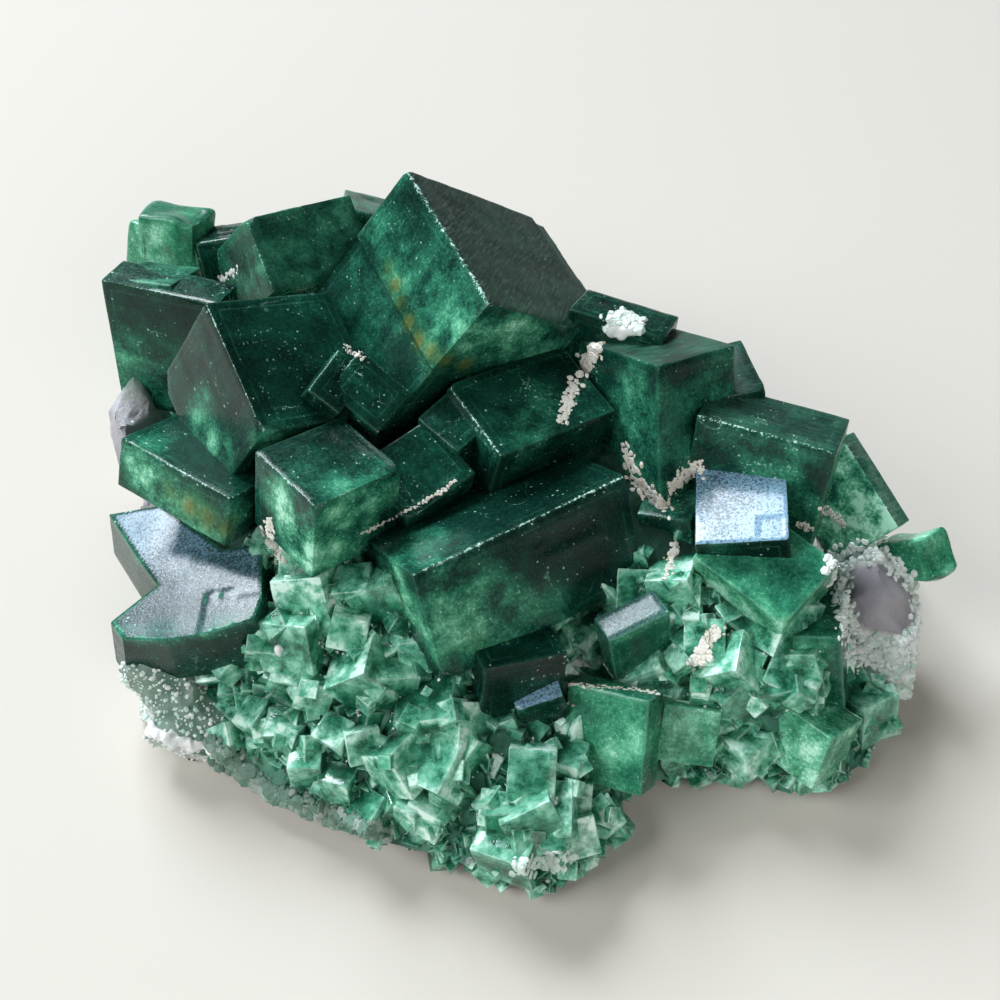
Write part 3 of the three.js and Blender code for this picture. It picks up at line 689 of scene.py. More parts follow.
pieceMaterials = {
    "crownCrystals": darkGreen, "backCrystals": darkGreen, "leftCrystals": darkGreen,
    "frontCrystals": darkGreen, "rightCrystals": darkGreen, "middleCrystals": darkGreen,
    "tableCrystals": darkGreen, "lowCrystals": seaGreen,
}
for pieceName, pieceMaterial in pieceMaterials.items():
    parts = [crystalParts(dict(crystal, name=name), 100 + i)
             for i, (name, crystal) in enumerate(crystals.items()) if crystal["piece"] == pieceName]
    toObject(pieceName, joinParts(pieceName, parts), pieceMaterial, "fluorite", "fluorite_crystals")
print("large crystals grown")


# The flat-topped crystal at the left, cut from a slab along its outline

leftTable = {
    "outline": [(-45, -10.5), (-38.5, -10.5), (-29.5, -18.5), (-25, -18.5), (-24.5, -22.5), (-24, -26),
                (-24.5, -28.5), (-29.5, -29.5), (-34, -29.5), (-39, -28.5), (-41, -26), (-36.5, -22),
                (-40, -17.5)],
    "top": 15.5, "depth": 7, "tilt": (-4, -14, 0), "cell": 0.4, "flare": 0.45,
    "squares": [((2.6, 4.1), (-3.1, -1.9), 0.1), ((4.2, 5.8), (-3.0, -1.8), 0.1), ((2.8, 9.5), (-7.5, -3.2), 0.07)],
    "milk": 0.12,
}


def tableMesh(table):
    outline = np.array(table["outline"])
    middle = outline.mean(axis=0)
    shape = bmesh.new()
    ring = [shape.verts.new((x - middle[0], y - middle[1], -table["depth"])) for x, y in outline]
    floorFace = shape.faces.new(ring)
    raised = bmesh.ops.extrude_face_region(shape, geom=[floorFace])["geom"]
    for vert in (g for g in raised if isinstance(g, bmesh.types.BMVert)):
        vert.co.z = 0
    bmesh.ops.recalc_face_normals(shape, faces=shape.faces)
    edges = [e for e in shape.edges if e.is_convex and e.calc_face_angle(0) > 0.2]
    bmesh.ops.bevel(shape, geom=edges, offset=0.25, segments=2, profile=0.7, affect="EDGES")
    for axis in range(2):
        low = min(v.co[axis] for v in shape.verts)
        high = max(v.co[axis] for v in shape.verts)
        for at in np.arange(low + table["cell"], high, table["cell"]):
            point, normal = Vector((0, 0, 0)), Vector((0, 0, 0))
            point[axis], normal[axis] = at, 1
            bmesh.ops.bisect_plane(shape, geom=shape.verts[:] + shape.edges[:] + shape.faces[:],
                                   plane_co=point, plane_no=normal, dist=1e-5)
    for at in np.arange(-table["depth"] + 0.8, -0.5, 0.8):
        bmesh.ops.bisect_plane(shape, geom=shape.verts[:] + shape.edges[:] + shape.faces[:],
                               plane_co=(0, 0, at), plane_no=(0, 0, 1), dist=1e-5)
    bmesh.ops.triangulate(shape, faces=[f for f in shape.faces if len(f.verts) > 4])
    mesh = bpy.data.meshes.new("leftTable")
    shape.to_mesh(mesh)
    shape.free()
    points = np.zeros(len(mesh.vertices) * 3)
    mesh.vertices.foreach_get("co", points)
    points = points.reshape(-1, 3)

    away = np.full(len(points), 99.0)       # distance to the outline, seen from above
    closed = outline - middle
    for a, b in zip(closed, np.roll(closed, -1, axis=0)):
        t = np.clip(((points[:, :2] - a) @ (b - a)) / ((b - a) @ (b - a)), 0, 1)
        away = np.minimum(away, np.linalg.norm(points[:, :2] - a - t[:, None] * (b - a), axis=1))
    onTop = points[:, 2] > -0.02
    rise = np.zeros(len(points))
    for (x0, x1), (y0, y1), height in table["squares"]:
        rise[onTop & (points[:, 0] > x0) & (points[:, 0] < x1) & (points[:, 1] > y0) & (points[:, 1] < y1)] += height
    points[:, 2] += np.minimum(rise, 0.1) + 0.06 * (fieldNoise(points, 3.0, 61) - 0.5) * onTop
    streak = 0.35 * (fieldNoise(points * (0.2, 0.2, 1.6), 1.0, 62) - 0.5) * ~onTop * (away < 0.02)
    reach = np.linalg.norm(points[:, :2], axis=1)[:, None] + 1e-6
    points[:, :2] -= points[:, :2] / reach * np.abs(streak)[:, None]
    points[:, 0] += table["flare"] * points[:, 2] * np.clip((2 - points[:, 0]) / 6, 0, 1) * ~onTop
    world = points @ turnMatrix(table["tilt"]).T + np.array([middle[0], middle[1], table["top"]]) + planShift
    mesh.vertices.foreach_set("co", (world * mm).ravel())
    corners = np.zeros(len(mesh.loops), int)
    mesh.loops.foreach_get("vertex_index", corners)
    ups = np.zeros(len(mesh.polygons) * 3)
    mesh.polygons.foreach_get("normal", ups)
    totals = np.zeros(len(mesh.polygons), int)
    mesh.polygons.foreach_get("loop_total", totals)
    top = np.repeat(ups.reshape(-1, 3)[:, 2] > 0.9, totals)
    tones = np.zeros((len(corners), 4))
    spots = points[corners]
    tones[:, 0] = table["milk"] + 0.2 * np.clip(1 + spots[:, 2] / 1.2, 0, 1) * ~top
    lower = np.clip(0.75 - spots[:, 1] / 12 - spots[:, 0] / 40 + 0.5 * (fieldNoise(spots, 3.0, 63) - 0.5), 0, 1)
    brim = top & (away[corners] <= 0.35)
    tones[:, 0] = np.where(brim, 0.2, np.where(top, lower, tones[:, 0]))     # more pits towards the front
    tones[:, 1] = np.where(top, 0.0, 0.1 * np.clip(-spots[:, 2] / 1.5, 0, 1))
    # The coat on the top also paints the pale reflection into the colour; it is weaker towards the front, a painted
    # dimming where that reflection is partly blocked
    dim = np.clip(0.75 - 0.12 * (spots[:, 1] + 2) + 0.5 * (fieldNoise(spots, 4.0, 64) - 0.5), 0, 1)
    tones[:, 3] = np.where(top & (away[corners] > 0.35), 0.72 - 0.44 * dim, 0.0)
    mesh.attributes.new("tone", "FLOAT_COLOR", "CORNER")
    mesh.attributes["tone"].data.foreach_set("color", tones.astype(np.float32).ravel())
    mesh.attributes.new("wear", "FLOAT", "POINT")
    wear = np.where(onTop, 0.45 * np.exp(-(away / 0.4) ** 2), 0)
    mesh.attributes["wear"].data.foreach_set("value", wear.astype(np.float32))
    mesh.attributes.new("rim", "FLOAT", "CORNER")
    mesh.attributes["rim"].data.foreach_set("value", np.where(top, away[corners], 2.0).astype(np.float32))
    mesh.uv_layers.new(name="grain")
    flat = np.stack([world[corners][:, 0] - world[corners][:, 1], world[corners][:, 2] * 2], axis=1)
    mesh.uv_layers["grain"].data.foreach_set("uv", flat.astype(np.float32).ravel())
    mesh.shade_smooth()
    mesh.set_sharp_from_angle(angle=math.radians(28))
    return mesh


toObject("leftTableCrystal", tableMesh(leftTable), darkGreen, "fluorite", "fluorite_crystals")
print("left table cut")


# The crusts of small cubes. The larger ones are those of the solids, placed by the same rule.

fluoriteEdge = [
    (-36, -29), (-29, -37.5), (-17, -44), (-6, -47), (3, -50), (9, -47.5), (14, -40), (24, -38), (35, -39),
    (41, -34), (43, -26), (42, -14), (38, -4), (28, 5), (12, 14), (-6, 24), (-24, 28), (-38, 26), (-44, 16),
    (-43, 2), (-41, -10), (-42, -22),
]
moundShape = {"middle": (-1, -6), "rim": 3.2, "slope": 0.85, "top": 19.0, "foot": 1.8}
frontCrust = {"count": 104, "smallest": 3.2, "largest": 6, "start": -0.03, "end": 0.36, "outer": 0.045,
              "inner": 0.5, "seed": 11}
rearCrust = {"count": 26, "smallest": 5, "largest": 9, "start": 0.46, "end": 0.84, "outer": 0.05,
             "inner": 0.5, "seed": 23}


class EdgeCurve:        # a smooth closed line through the edge's points, by its own length
    def __init__(self, points):
        self.points = [np.array(p, float) for p in points]
        steps = [self.spot(i / 200) for i in range(201)]
        self.lengths = np.concatenate([[0], np.cumsum([np.linalg.norm(b - a) for a, b in zip(steps, steps[1:])])])

    def spot(self, t):
        count = len(self.points)
        whole = math.floor(t * count)
        w = t * count - whole
        p = [self.points[(whole + i) % count] for i in (-1, 0, 1, 2)]
        d = [max(np.linalg.norm(b - a) ** 0.5, 1e-4) for a, b in zip(p, p[1:])]
        ta = ((p[1] - p[0]) / d[0] - (p[2] - p[0]) / (d[0] + d[1]) + (p[2] - p[1]) / d[1]) * d[1]
        tb = ((p[2] - p[1]) / d[1] - (p[3] - p[1]) / (d[1] + d[2]) + (p[3] - p[2]) / d[2]) * d[1]
        return (p[1] + ta * w + (-3 * p[1] + 3 * p[2] - 2 * ta - tb) * w * w
                + (2 * p[1] - 2 * p[2] + ta + tb) * w ** 3)

    def at(self, share):
        return self.spot(float(np.interp(share * self.lengths[-1], self.lengths, np.arange(201) / 200)))


hollows = [(6.5, -30.0, 8.0, 8.5), (17.5, -25.5, 6.5, 4.5), (-6.0, -31.5, 5.0, 2.0)]     # x, y, radius, depth


def flankHeight(inside, spot):      # the slope from the rim up to the level top, with its hollows
    full = moundShape["rim"] + moundShape["slope"] * inside
    level = moundShape["top"] - math.log(1 + math.exp((moundShape["top"] - full) / 2)) * 2
    for x, y, radius, depth in hollows:
        level -= depth * math.exp(-((spot[0] - x) ** 2 + (spot[1] - y) ** 2) / radius ** 2)
    return max(level, moundShape["foot"] + 0.4)


edgeCurve = EdgeCurve(fluoriteEdge)
moundMiddle = np.array(moundShape["middle"], float)


def crustCubes(crust):
    draw = randomSource(crust["seed"])
    cubes = []
    for i in range(crust["count"]):
        share = (i + next(draw)) / crust["count"]
        onEdge = edgeCurve.at((crust["start"] + (crust["end"] - crust["start"]) * share + 1) % 1)
        inward = crust["outer"] + (crust["inner"] - crust["outer"]) * next(draw) ** 1.3
        spot = onEdge + (moundMiddle - onEdge) * inward
        size = crust["smallest"] + (crust["largest"] - crust["smallest"]) * next(draw) ** 2
        turn = [next(draw) * 90, next(draw) * 90, next(draw) * 90]
        z = flankHeight(inward * np.linalg.norm(onEdge - moundMiddle), spot)
        # The wide spread of milk between the sides stands in for reflections inside the cubes, as painted light
        cubes.append({"at": (spot[0], spot[1], z), "size": (size, size, size * (0.8 + 0.4 * next(draw))),
                      "turn": turn, "cell": 0.8, "bevel": 0.14, "terraces": 2, "cleaved": 1,
                      "milk": 0.5 + 0.42 * (i * 0.618 % 1), "faceSpread": 0.45,
                      "stepWear": 0})
    return cubes


# The fluorite bed between the cubes and the rock

bedLook = {"around": 260, "rings": 44, "rough": 0.9, "grain": 1.1, "seed": 8, "milk": 0.16}


def moundMesh(name, look):
    rows = []
    curve = [edgeCurve.at(i / look["around"]) for i in range(look["around"])]
    for ring in range(look["rings"] + 2):
        inward = 0.05 if ring == 0 else (ring - 1) / look["rings"] * 0.96
        for onEdge in curve:
            spot = onEdge + (moundMiddle - onEdge) * inward
            reach = np.linalg.norm(onEdge - moundMiddle)
            z = moundShape["foot"] if ring == 0 else flankHeight(inward * reach, spot)
            rows.append((spot[0], spot[1], z))
    points = np.array(rows)
    body = np.arange(len(points)) >= look["around"]
    rough = look["rough"] * (fieldNoise(points, 2.6, look["seed"]) - 0.75)
    rough += look["rough"] * 0.8 * (fieldNoise(points, look["grain"], look["seed"] + 1) - 0.75)
    points[:, 2] += rough * body
    points[body, 2] = np.maximum(points[body, 2], moundShape["foot"] + 0.4)
    around = look["around"]
    i = np.arange(around)
    n = (i + 1) % around
    quads = [np.stack([r * around + i, r * around + n, (r + 1) * around + n, (r + 1) * around + i], axis=1)
             for r in range(look["rings"] + 1)]
    tip, under = len(points), len(points) + 1
    top = (look["rings"] + 1) * around
    points = np.concatenate([points, [[*moundMiddle, moundShape["top"]], [*moundMiddle, moundShape["foot"]]]])
    lids = [np.stack([top + i, top + n, np.full(around, tip)], axis=1),
            np.stack([n, i, np.full(around, under)], axis=1)]
    mesh = bpy.data.meshes.new(name)
    mesh.from_pydata((points + planShift) * mm, [], [f.tolist() for part in quads + lids for f in part])
    return mesh, points


bedMesh, bedPoints = moundMesh("fluoriteBed", bedLook)
bedTones = np.zeros((len(bedPoints), 4))
bedTones[:, 0] = bedLook["milk"] + 0.3 * (fieldNoise(bedPoints, 6.0, 31) - 0.5)
# Painted shade: the bed goes dark teal where it lies high, between the large crystals
bedTones[:, 1] = np.clip((bedPoints[:, 2] - 12) / 3, 0, 1)      # dark between the large crystals
bedMesh.attributes.new("tone", "FLOAT_COLOR", "POINT")
bedMesh.attributes["tone"].data.foreach_set("color", bedTones.astype(np.float32).ravel())
bedMesh.attributes.new("rim", "FLOAT", "POINT")
bedMesh.attributes["rim"].data.foreach_set("value", np.full(len(bedPoints), 3.0, np.float32))
bed = toObject("fluoriteBed", bedMesh, greenBed, "fluorite", "fluorite_crystals")
bedTree = treesOf([bed])[0]
print("fluorite bed laid")


def standOut(points, reach):        # how far points rise above the bed, as a share of that reach
    share = []
    for x, y, z in points * mm:
        below = bedTree.ray_cast((x, y, 0.06), (0, 0, -1))[0]
        share.append((z - below.z) / mm / reach if below else 1.0)
    return np.clip(0.2 + 0.8 * np.array(share), 0.0, 1.0)


for crustName, crust in (("frontCrustCubes", frontCrust), ("rearCrustCubes", rearCrust)):
    parts = [crystalParts(cube, 400 + crust["seed"] * 200 + i) for i, cube in enumerate(crustCubes(crust))]
    for world, faces, tones, wear, rim, grain in parts:
        hollow = 1 - 0.4 * np.clip((rim - 0.3) / 1.2, 0, 1)      # darker towards the middle of each face
        # Painted shade: the cubes are darker where they sit low against the bed
        tones[:, :, 0] *= standOut(world + planShift, 2.2)[faces] * hollow
    toObject(crustName, joinParts(crustName, parts), paleMint, "fluorite", "fluorite_crystals")
print("crust cubes grown")



# Small cubes strewn over the slopes by Geometry Nodes, in two sizes

seedling = bpy.data.meshes.new("seedling")
shape = bmesh.new()
bmesh.ops.create_cube(shape, size=1.0)
bmesh.ops.bevel(shape, geom=shape.edges[:], offset=0.04, segments=1, affect="EDGES")
bmesh.ops.inset_individual(shape, faces=[f for f in shape.faces if f.calc_area() > 0.5], thickness=0.22, depth=0)
shape.to_mesh(seedling)
shape.free()
# The rim paints a highlight along the bevels of the small cubes
seedling.attributes.new("rim", "FLOAT", "CORNER")       # bright on the bevels, fading into the faces
inner = [sorted(abs(c) for c in v.co)[1] < 0.4 for v in seedling.vertices]
seedling.attributes["rim"].data.foreach_set("value", [0.9 * inner[i] for f in seedling.polygons for i in f.vertices])
seedlingCube = bpy.data.objects.new("seedling", seedling)

strewnLooks = {
    "middlingCubes": {"Density": 0.36, "Smallest": 2.2, "Largest": 4.8, "Sink": 0.5, "Seed": 4,
                      "Milk Low": 0.35, "Milk High": 0.8},
    "fineCubes": {"Density": 0.6, "Smallest": 0.9, "Largest": 2.4, "Sink": 0.3, "Seed": 9,
                  "Milk Low": 0.45, "Milk High": 0.95},
}


def strewTree():
    tree = bpy.data.node_groups.new("strewCubes", "GeometryNodeTree")
    face = tree.interface
    face.new_socket("Geometry", in_out="INPUT", socket_type="NodeSocketGeometry")
    for name in ("Density", "Smallest", "Largest", "Sink", "Milk Low", "Milk High"):
        face.new_socket(name, in_out="INPUT", socket_type="NodeSocketFloat")
    face.new_socket("Seed", in_out="INPUT", socket_type="NodeSocketInt")
    face.new_socket("Cube", in_out="INPUT", socket_type="NodeSocketObject")
    face.new_socket("Material", in_out="INPUT", socket_type="NodeSocketMaterial")
    face.new_socket("Geometry", in_out="OUTPUT", socket_type="NodeSocketGeometry")
    given = addNode(tree, "NodeGroupInput").outputs
    share = addNode(tree, "GeometryNodeInputNamedAttribute", {"Name": "crust"}, data_type="FLOAT").outputs[0]
    perArea = addNode(tree, "ShaderNodeMath", {0: given["Density"], 1: 1e6}, operation="MULTIPLY").outputs[0]
    perArea = addNode(tree, "ShaderNodeMath", {0: perArea, 1: share}, operation="MULTIPLY").outputs[0]
    spread = addNode(tree, "GeometryNodeDistributePointsOnFaces", {
        "Mesh": given["Geometry"], "Density": perArea, "Seed": given["Seed"]})
    fine = addNode(tree, "GeometryNodeInputNamedAttribute", {"Name": "scale"}, data_type="FLOAT").outputs[0]
    luck = addNode(tree, "FunctionNodeRandomValue", {2: 0.0, 3: 1.0, "Seed": given["Seed"]},
                   data_type="FLOAT").outputs[1]
    luck = addNode(tree, "ShaderNodeMath", {0: luck, 1: 2.0}, operation="POWER").outputs[0]
    size = addNode(tree, "ShaderNodeMapRange", {
        "Value": luck, "To Min": given["Smallest"], "To Max": given["Largest"]}).outputs[0]
    size = addNode(tree, "ShaderNodeMath", {0: size, 1: fine}, operation="MULTIPLY").outputs[0]
    size = addNode(tree, "ShaderNodeMath", {0: size, 1: mm}, operation="MULTIPLY").outputs[0]
    turn = addNode(tree, "FunctionNodeRandomValue", {
        0: (0, 0, 0), 1: (1.57, 1.57, 1.57), "Seed": given["Seed"]}, data_type="FLOAT_VECTOR").outputs[0]
    drop = addNode(tree, "ShaderNodeMath", {0: size, 1: given["Sink"]}, operation="MULTIPLY").outputs[0]
    drop = addNode(tree, "ShaderNodeMath", {0: drop, 1: -1.0}, operation="MULTIPLY").outputs[0]
    drop = addNode(tree, "ShaderNodeCombineXYZ", {"Z": drop}).outputs[0]
    sunk = addNode(tree, "GeometryNodeSetPosition", {"Geometry": spread.outputs["Points"], "Offset": drop})
    cube = addNode(tree, "GeometryNodeObjectInfo", {"Object": given["Cube"], "As Instance": True})
    cubes = addNode(tree, "GeometryNodeInstanceOnPoints", {
        "Points": sunk.outputs[0], "Instance": cube.outputs["Geometry"], "Rotation": turn, "Scale": size})
    milk = addNode(tree, "FunctionNodeRandomValue", {
        2: given["Milk Low"], 3: given["Milk High"], "Seed": 77}, data_type="FLOAT").outputs[1]
    tone = addNode(tree, "FunctionNodeCombineColor", {"Red": milk}).outputs[0]
    toned = addNode(tree, "GeometryNodeStoreNamedAttribute", {
        "Geometry": cubes.outputs[0], "Name": "tone", "Value": tone}, data_type="FLOAT_COLOR", domain="INSTANCE")
    real = addNode(tree, "GeometryNodeRealizeInstances", {"Geometry": toned.outputs[0]})
    done = addNode(tree, "GeometryNodeSetMaterial", {"Geometry": real.outputs[0], "Material": given["Material"]})
    addNode(tree, "NodeGroupOutput", {"Geometry": done.outputs[0]})
    return tree


def shadeByFace(mesh, spots, look):     # deeper is darker, and no two faces are alike
    shades = np.zeros(len(mesh.vertices) * 4)
    mesh.attributes["tone"].data.foreach_get("color", shades)
    corners = np.zeros(len(mesh.loops), int)
    mesh.loops.foreach_get("vertex_index", corners)
    ups = np.zeros(len(mesh.polygons) * 3)
    mesh.polygons.foreach_get("normal", ups)
    totals = np.zeros(len(mesh.polygons), int)
    mesh.polygons.foreach_get("loop_total", totals)
    # Each face is lighter or darker by the way it faces, a painted stand-in for reflections inside the cubes
    facing = fieldNoise(ups.reshape(-1, 3) * 3, 0.5, look["Seed"])
    # Painted shade: darker where the cubes sit low against the bed
    milk = shades[0::4] * standOut(spots, look["Largest"] * 0.35)
    tones = np.zeros((len(corners), 4))
    tones[:, 0] = np.clip(milk[corners] * np.repeat(0.45 + 1.0 * facing, totals), 0, 1)
    mesh.attributes.remove(mesh.attributes["tone"])
    mesh.attributes.new("tone", "FLOAT_COLOR", "CORNER")
    mesh.attributes["tone"].data.foreach_set("color", tones.astype(np.float32).ravel())


def strew(name, ground, tree, look, cube, material, slot, node):
    carrier = bpy.data.objects.new(name + "Ground", ground)
    bpy.context.scene.collection.objects.link(carrier)
    modifier = carrier.modifiers.new("strew", "NODES")
    modifier.node_group = tree
    values = dict(look, Cube=cube, Material=material)
    for item in tree.interface.items_tree:
        if item.in_out == "INPUT" and item.name in values:
            modifier[item.identifier] = values[item.name]
    seen = carrier.evaluated_get(bpy.context.evaluated_depsgraph_get())
    mesh = bpy.data.meshes.new_from_object(seen)
    mesh.name = name
    bpy.data.objects.remove(carrier)
    spots = np.zeros(len(mesh.vertices) * 3)
    mesh.vertices.foreach_get("co", spots)
    spots[2::3] = np.maximum(spots[2::3], 0.4 * mm)     # nothing reaches the ground
    mesh.vertices.foreach_set("co", spots)
    shadeByFace(mesh, spots.reshape(-1, 3) / mm, look)
    print(name, len(mesh.polygons), "faces")
    return toObject(name, mesh, None, slot, node)


slopeMesh = bedMesh.copy()
x, y, z = bedPoints.T
bare = 2.2 + 2.2 * np.clip((-10 - x) / 3, 0, 1)        # the rock's rim stays bare at the front left
front = np.clip((-14 - y) / 8, 0, 1) * np.clip((z - bare) / 0.5, 0, 1)
low = np.clip((9 - z) / 6, 0, 1)
right = np.clip((x - 22) / 6, 0, 1) * np.clip((-2 - y) / 6, 0, 1)
slopeMesh.attributes.new("crust", "FLOAT", "POINT")
rear = np.clip((y - 4) / 6, 0, 1) * np.clip((z - 3) / 1, 0, 1) * 0.35
rear = np.maximum(rear, np.clip((-30 - x) / 4, 0, 1) * np.clip((z - 4) / 1, 0, 1) * np.clip((y + 12) / 4, 0, 1) * 0.4)
slopeMesh.attributes["crust"].data.foreach_set(
    "value", (np.clip(front + right + rear, 0, 1) * (0.5 + 0.9 * low)).astype(np.float32))
slopeMesh.attributes.new("scale", "FLOAT", "POINT")
slopeMesh.attributes["scale"].data.foreach_set("value", (1.0 - 0.55 * low).astype(np.float32))
strewCubes = strewTree()
for strewnName, look in strewnLooks.items():
    strew(strewnName, slopeMesh, strewCubes, look, seedlingCube, paleMint, "fluorite", "fluorite_crystals")
budGround = bpy.data.objects["frontCrustCubes"].data.copy()
for name in ("crust", "scale"):
    budGround.attributes.new(name, "FLOAT", "POINT")
    budGround.attributes[name].data.foreach_set("value", np.ones(len(budGround.vertices), np.float32))
budLook = {"Density": 0.08, "Smallest": 0.7, "Largest": 2.6, "Sink": 0.4, "Seed": 21, "Milk Low": 0.35,
           "Milk High": 0.8}
strew("budCubes", budGround, strewCubes, budLook, seedlingCube, paleMint, "fluorite", "fluorite_crystals")
print("small cubes strewn")


# The broken quartz rock: the solid itself, remeshed and broken up inwards

rockLook = {"voxel": 0.62, "break": 1.2, "seed": 51}
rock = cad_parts["quartz_matrix"].data.copy()
shape = bmesh.new()
shape.from_mesh(rock)
bmesh.ops.remove_doubles(shape, verts=shape.verts, dist=1e-6)
shape.to_mesh(rock)
shape.free()
rock.materials.clear()
for name in [a.name for a in rock.attributes if a.name not in ("position", ".edge_verts", ".corner_vert")]:
    if not rock.attributes[name].is_required:
        rock.attributes.remove(rock.attributes[name])
carrier = bpy.data.objects.new("rockCarrier", rock)
bpy.context.scene.collection.objects.link(carrier)
remesh = carrier.modifiers.new("remesh", "REMESH")
remesh.mode = "VOXEL"
remesh.voxel_size = rockLook["voxel"] * mm
rock = bpy.data.meshes.new_from_object(carrier.evaluated_get(bpy.context.evaluated_depsgraph_get()))
bpy.data.objects.remove(carrier)
points = np.zeros(len(rock.vertices) * 3)
rock.vertices.foreach_get("co", points)
points = points.reshape(-1, 3) / mm
normals = np.zeros(len(rock.vertices) * 3)
rock.vertices.foreach_get("normal", normals)
normals = normals.reshape(-1, 3)
cut = 0.5 * fieldNoise(points, 4.0, rockLook["seed"]) + 0.35 * fieldNoise(points, 1.8, rockLook["seed"] + 1)
cut += 0.15 * fieldNoise(points, 0.9, rockLook["seed"] + 2)
terrace = np.round(cut * 5) / 5
depth = rockLook["break"] * (0.7 * terrace + 0.5 * cut)
depth *= np.clip((points[:, 2] - 0.3) / 0.8, 0, 1)
points -= normals * depth[:, None]
points[:, 2] = np.maximum(points[:, 2], 0.0)
points[points[:, 2] < 0.35, 2] = 0.0
rock.vertices.foreach_set("co", (points * mm).ravel())
lilacBreak = {"corners": [(847, 565), (864, 636), (910, 636), (907, 611), (876, 571)]}     # on the photograph
corners = [spotOn(solidTrees, x, y)[0] for x, y in lilacBreak["corners"]]
outward = np.cross(corners[2] - corners[0], corners[4] - corners[0])
outward /= np.linalg.norm(outward)
inside = np.full(len(points), 9.0)
for a, b in zip(corners, corners[1:] + corners[:1]):
    side = np.cross(outward, b - a)
    inside = np.minimum(inside, (points - a) @ (side / np.linalg.norm(side)))
near = np.linalg.norm(points - np.mean(corners, axis=0), axis=1) < 7
lilac = np.clip(inside / 0.5 + 0.6, 0, 1) * near
left = np.clip((-22 - points[:, 0]) / 6, 0, 1)
beside = np.clip((points[:, 1] - 2) / 3, 0, 1) * np.clip((15 - points[:, 1]) / 3, 0, 1)
lilac = np.maximum(lilac, 0.8 * left * beside)
greenish = left * np.clip((points[:, 2] - 2.5) / 3, 0, 1) * (1 - lilac)
rimEdge = np.clip((4.5 - points[:, 2]) / 2, 0, 1) * np.clip((-10 - points[:, 1]) / 4, 0, 1) * (1 - left)
tones = np.stack([np.maximum(greenish, 0.75 * rimEdge), lilac, 0.4 * rimEdge, np.ones(len(points))], axis=1)
rock.attributes.new("tone", "FLOAT_COLOR", "POINT")
rock.attributes["tone"].data.foreach_set("color", tones.astype(np.float32).ravel())
sugarGround = rock.copy()
right = np.clip((points[:, 0] - 32) / 2, 0, 1) * np.clip((points[:, 2] - 3) / 2, 0, 1)
lowLeft = left * np.clip((-8 - points[:, 1]) / 3, 0, 1)
sugar = np.clip(right + lowLeft + 0.05 * left + 0.5 * rimEdge, 0, 1) * (1 - lilac)
sugarGround.attributes.new("crust", "FLOAT", "POINT")
sugarGround.attributes["crust"].data.foreach_set("value", sugar.astype(np.float32))
sugarGround.attributes.new("scale", "FLOAT", "POINT")
sugarGround.attributes["scale"].data.foreach_set("value", (1.0 - 0.62 * np.maximum(lowLeft, rimEdge)).astype(np.float32))
rock.shade_smooth()
rock.set_sharp_from_angle(angle=math.radians(35))
toObject("quartzRock", rock, quartzRock, "quartz", "quartz_matrix")
print("rock broken,", len(rock.polygons), "faces")

grainMesh = bpy.data.meshes.new("quartzGrain")      # a blunt, slightly long grain with flat sides
shape = bmesh.new()
bmesh.ops.create_icosphere(shape, subdivisions=1, radius=0.55)
for vert in shape.verts:
    vert.co.z *= 1.35
shape.to_mesh(grainMesh)
shape.free()
quartzGrain = bpy.data.objects.new("quartzGrain", grainMesh)
sugarLook = {"Density": 2.4, "Smallest": 0.5, "Largest": 1.7, "Sink": 0.1, "Seed": 15,
             "Milk Low": 0.0, "Milk High": 0.8}
strew("sugaryQuartz", sugarGround, strewCubes, sugarLook, quartzGrain, sugarQuartz, "quartz", "quartz_matrix")


# Clay in the seams and bits of quartz, as runs of small lumps. A run is a line on the photograph
# (1000 x 1000), the size of its lumps is in mm, and spread is how far they stray from the line.

clayRuns = {
    "underCrown": {"run": [(598, 346), (590, 358), (583, 372)], "size": 0.8, "spread": 0.9, "lumps": 150},
    "underCrownLow": {"run": [(576, 382), (568, 400), (562, 422)], "size": 0.55, "spread": 0.8, "lumps": 120},
    "besidePedestal": {"run": [(626, 447), (634, 474), (646, 493), (668, 508)], "size": 0.6, "spread": 1.0,
                       "lumps": 200},
    "behindTable": {"run": [(671, 490), (682, 477), (700, 465)], "size": 0.6, "spread": 0.8, "lumps": 110},
    "rightOfTable": {"run": [(796, 524), (812, 530)], "size": 0.4, "spread": 0.5, "lumps": 30},
    "rightOfBlock": {"run": [(822, 508), (834, 515), (843, 523)], "size": 0.45, "spread": 0.6, "lumps": 60},
    "leftOfBlock": {"run": [(362, 534), (385, 522), (418, 505), (440, 492), (456, 480)], "size": 0.32,
                    "spread": 0.25, "lumps": 130},
    "belowStep": {"run": [(346, 346), (352, 354), (366, 357)], "size": 0.4, "spread": 0.5, "lumps": 40},
    "lowRightSeam": {"run": [(718, 630), (704, 646), (696, 666)], "size": 0.6, "spread": 0.9, "lumps": 130},
    "underMiddle": {"run": [(678, 546), (670, 560), (667, 578)], "size": 0.5, "spread": 0.6, "lumps": 70},
    "aboveFrontRight": {"run": [(568, 684), (600, 687), (636, 689), (660, 694)], "size": 0.4, "spread": 0.25,
                        "lumps": 110},
    "rightOfLeftTable": {"run": [(267, 520), (271, 540), (279, 562)], "size": 0.55, "spread": 0.7, "lumps": 110},
    "belowFrontLeft": {"run": [(300, 590), (340, 600), (372, 580)], "size": 0.4, "spread": 1.2, "lumps": 90,
                       "gaps": True},
    "frontMiddle": {"run": [(560, 700), (640, 690), (740, 720)], "size": 0.35, "spread": 2.0, "lumps": 50,
                    "gaps": True},
}
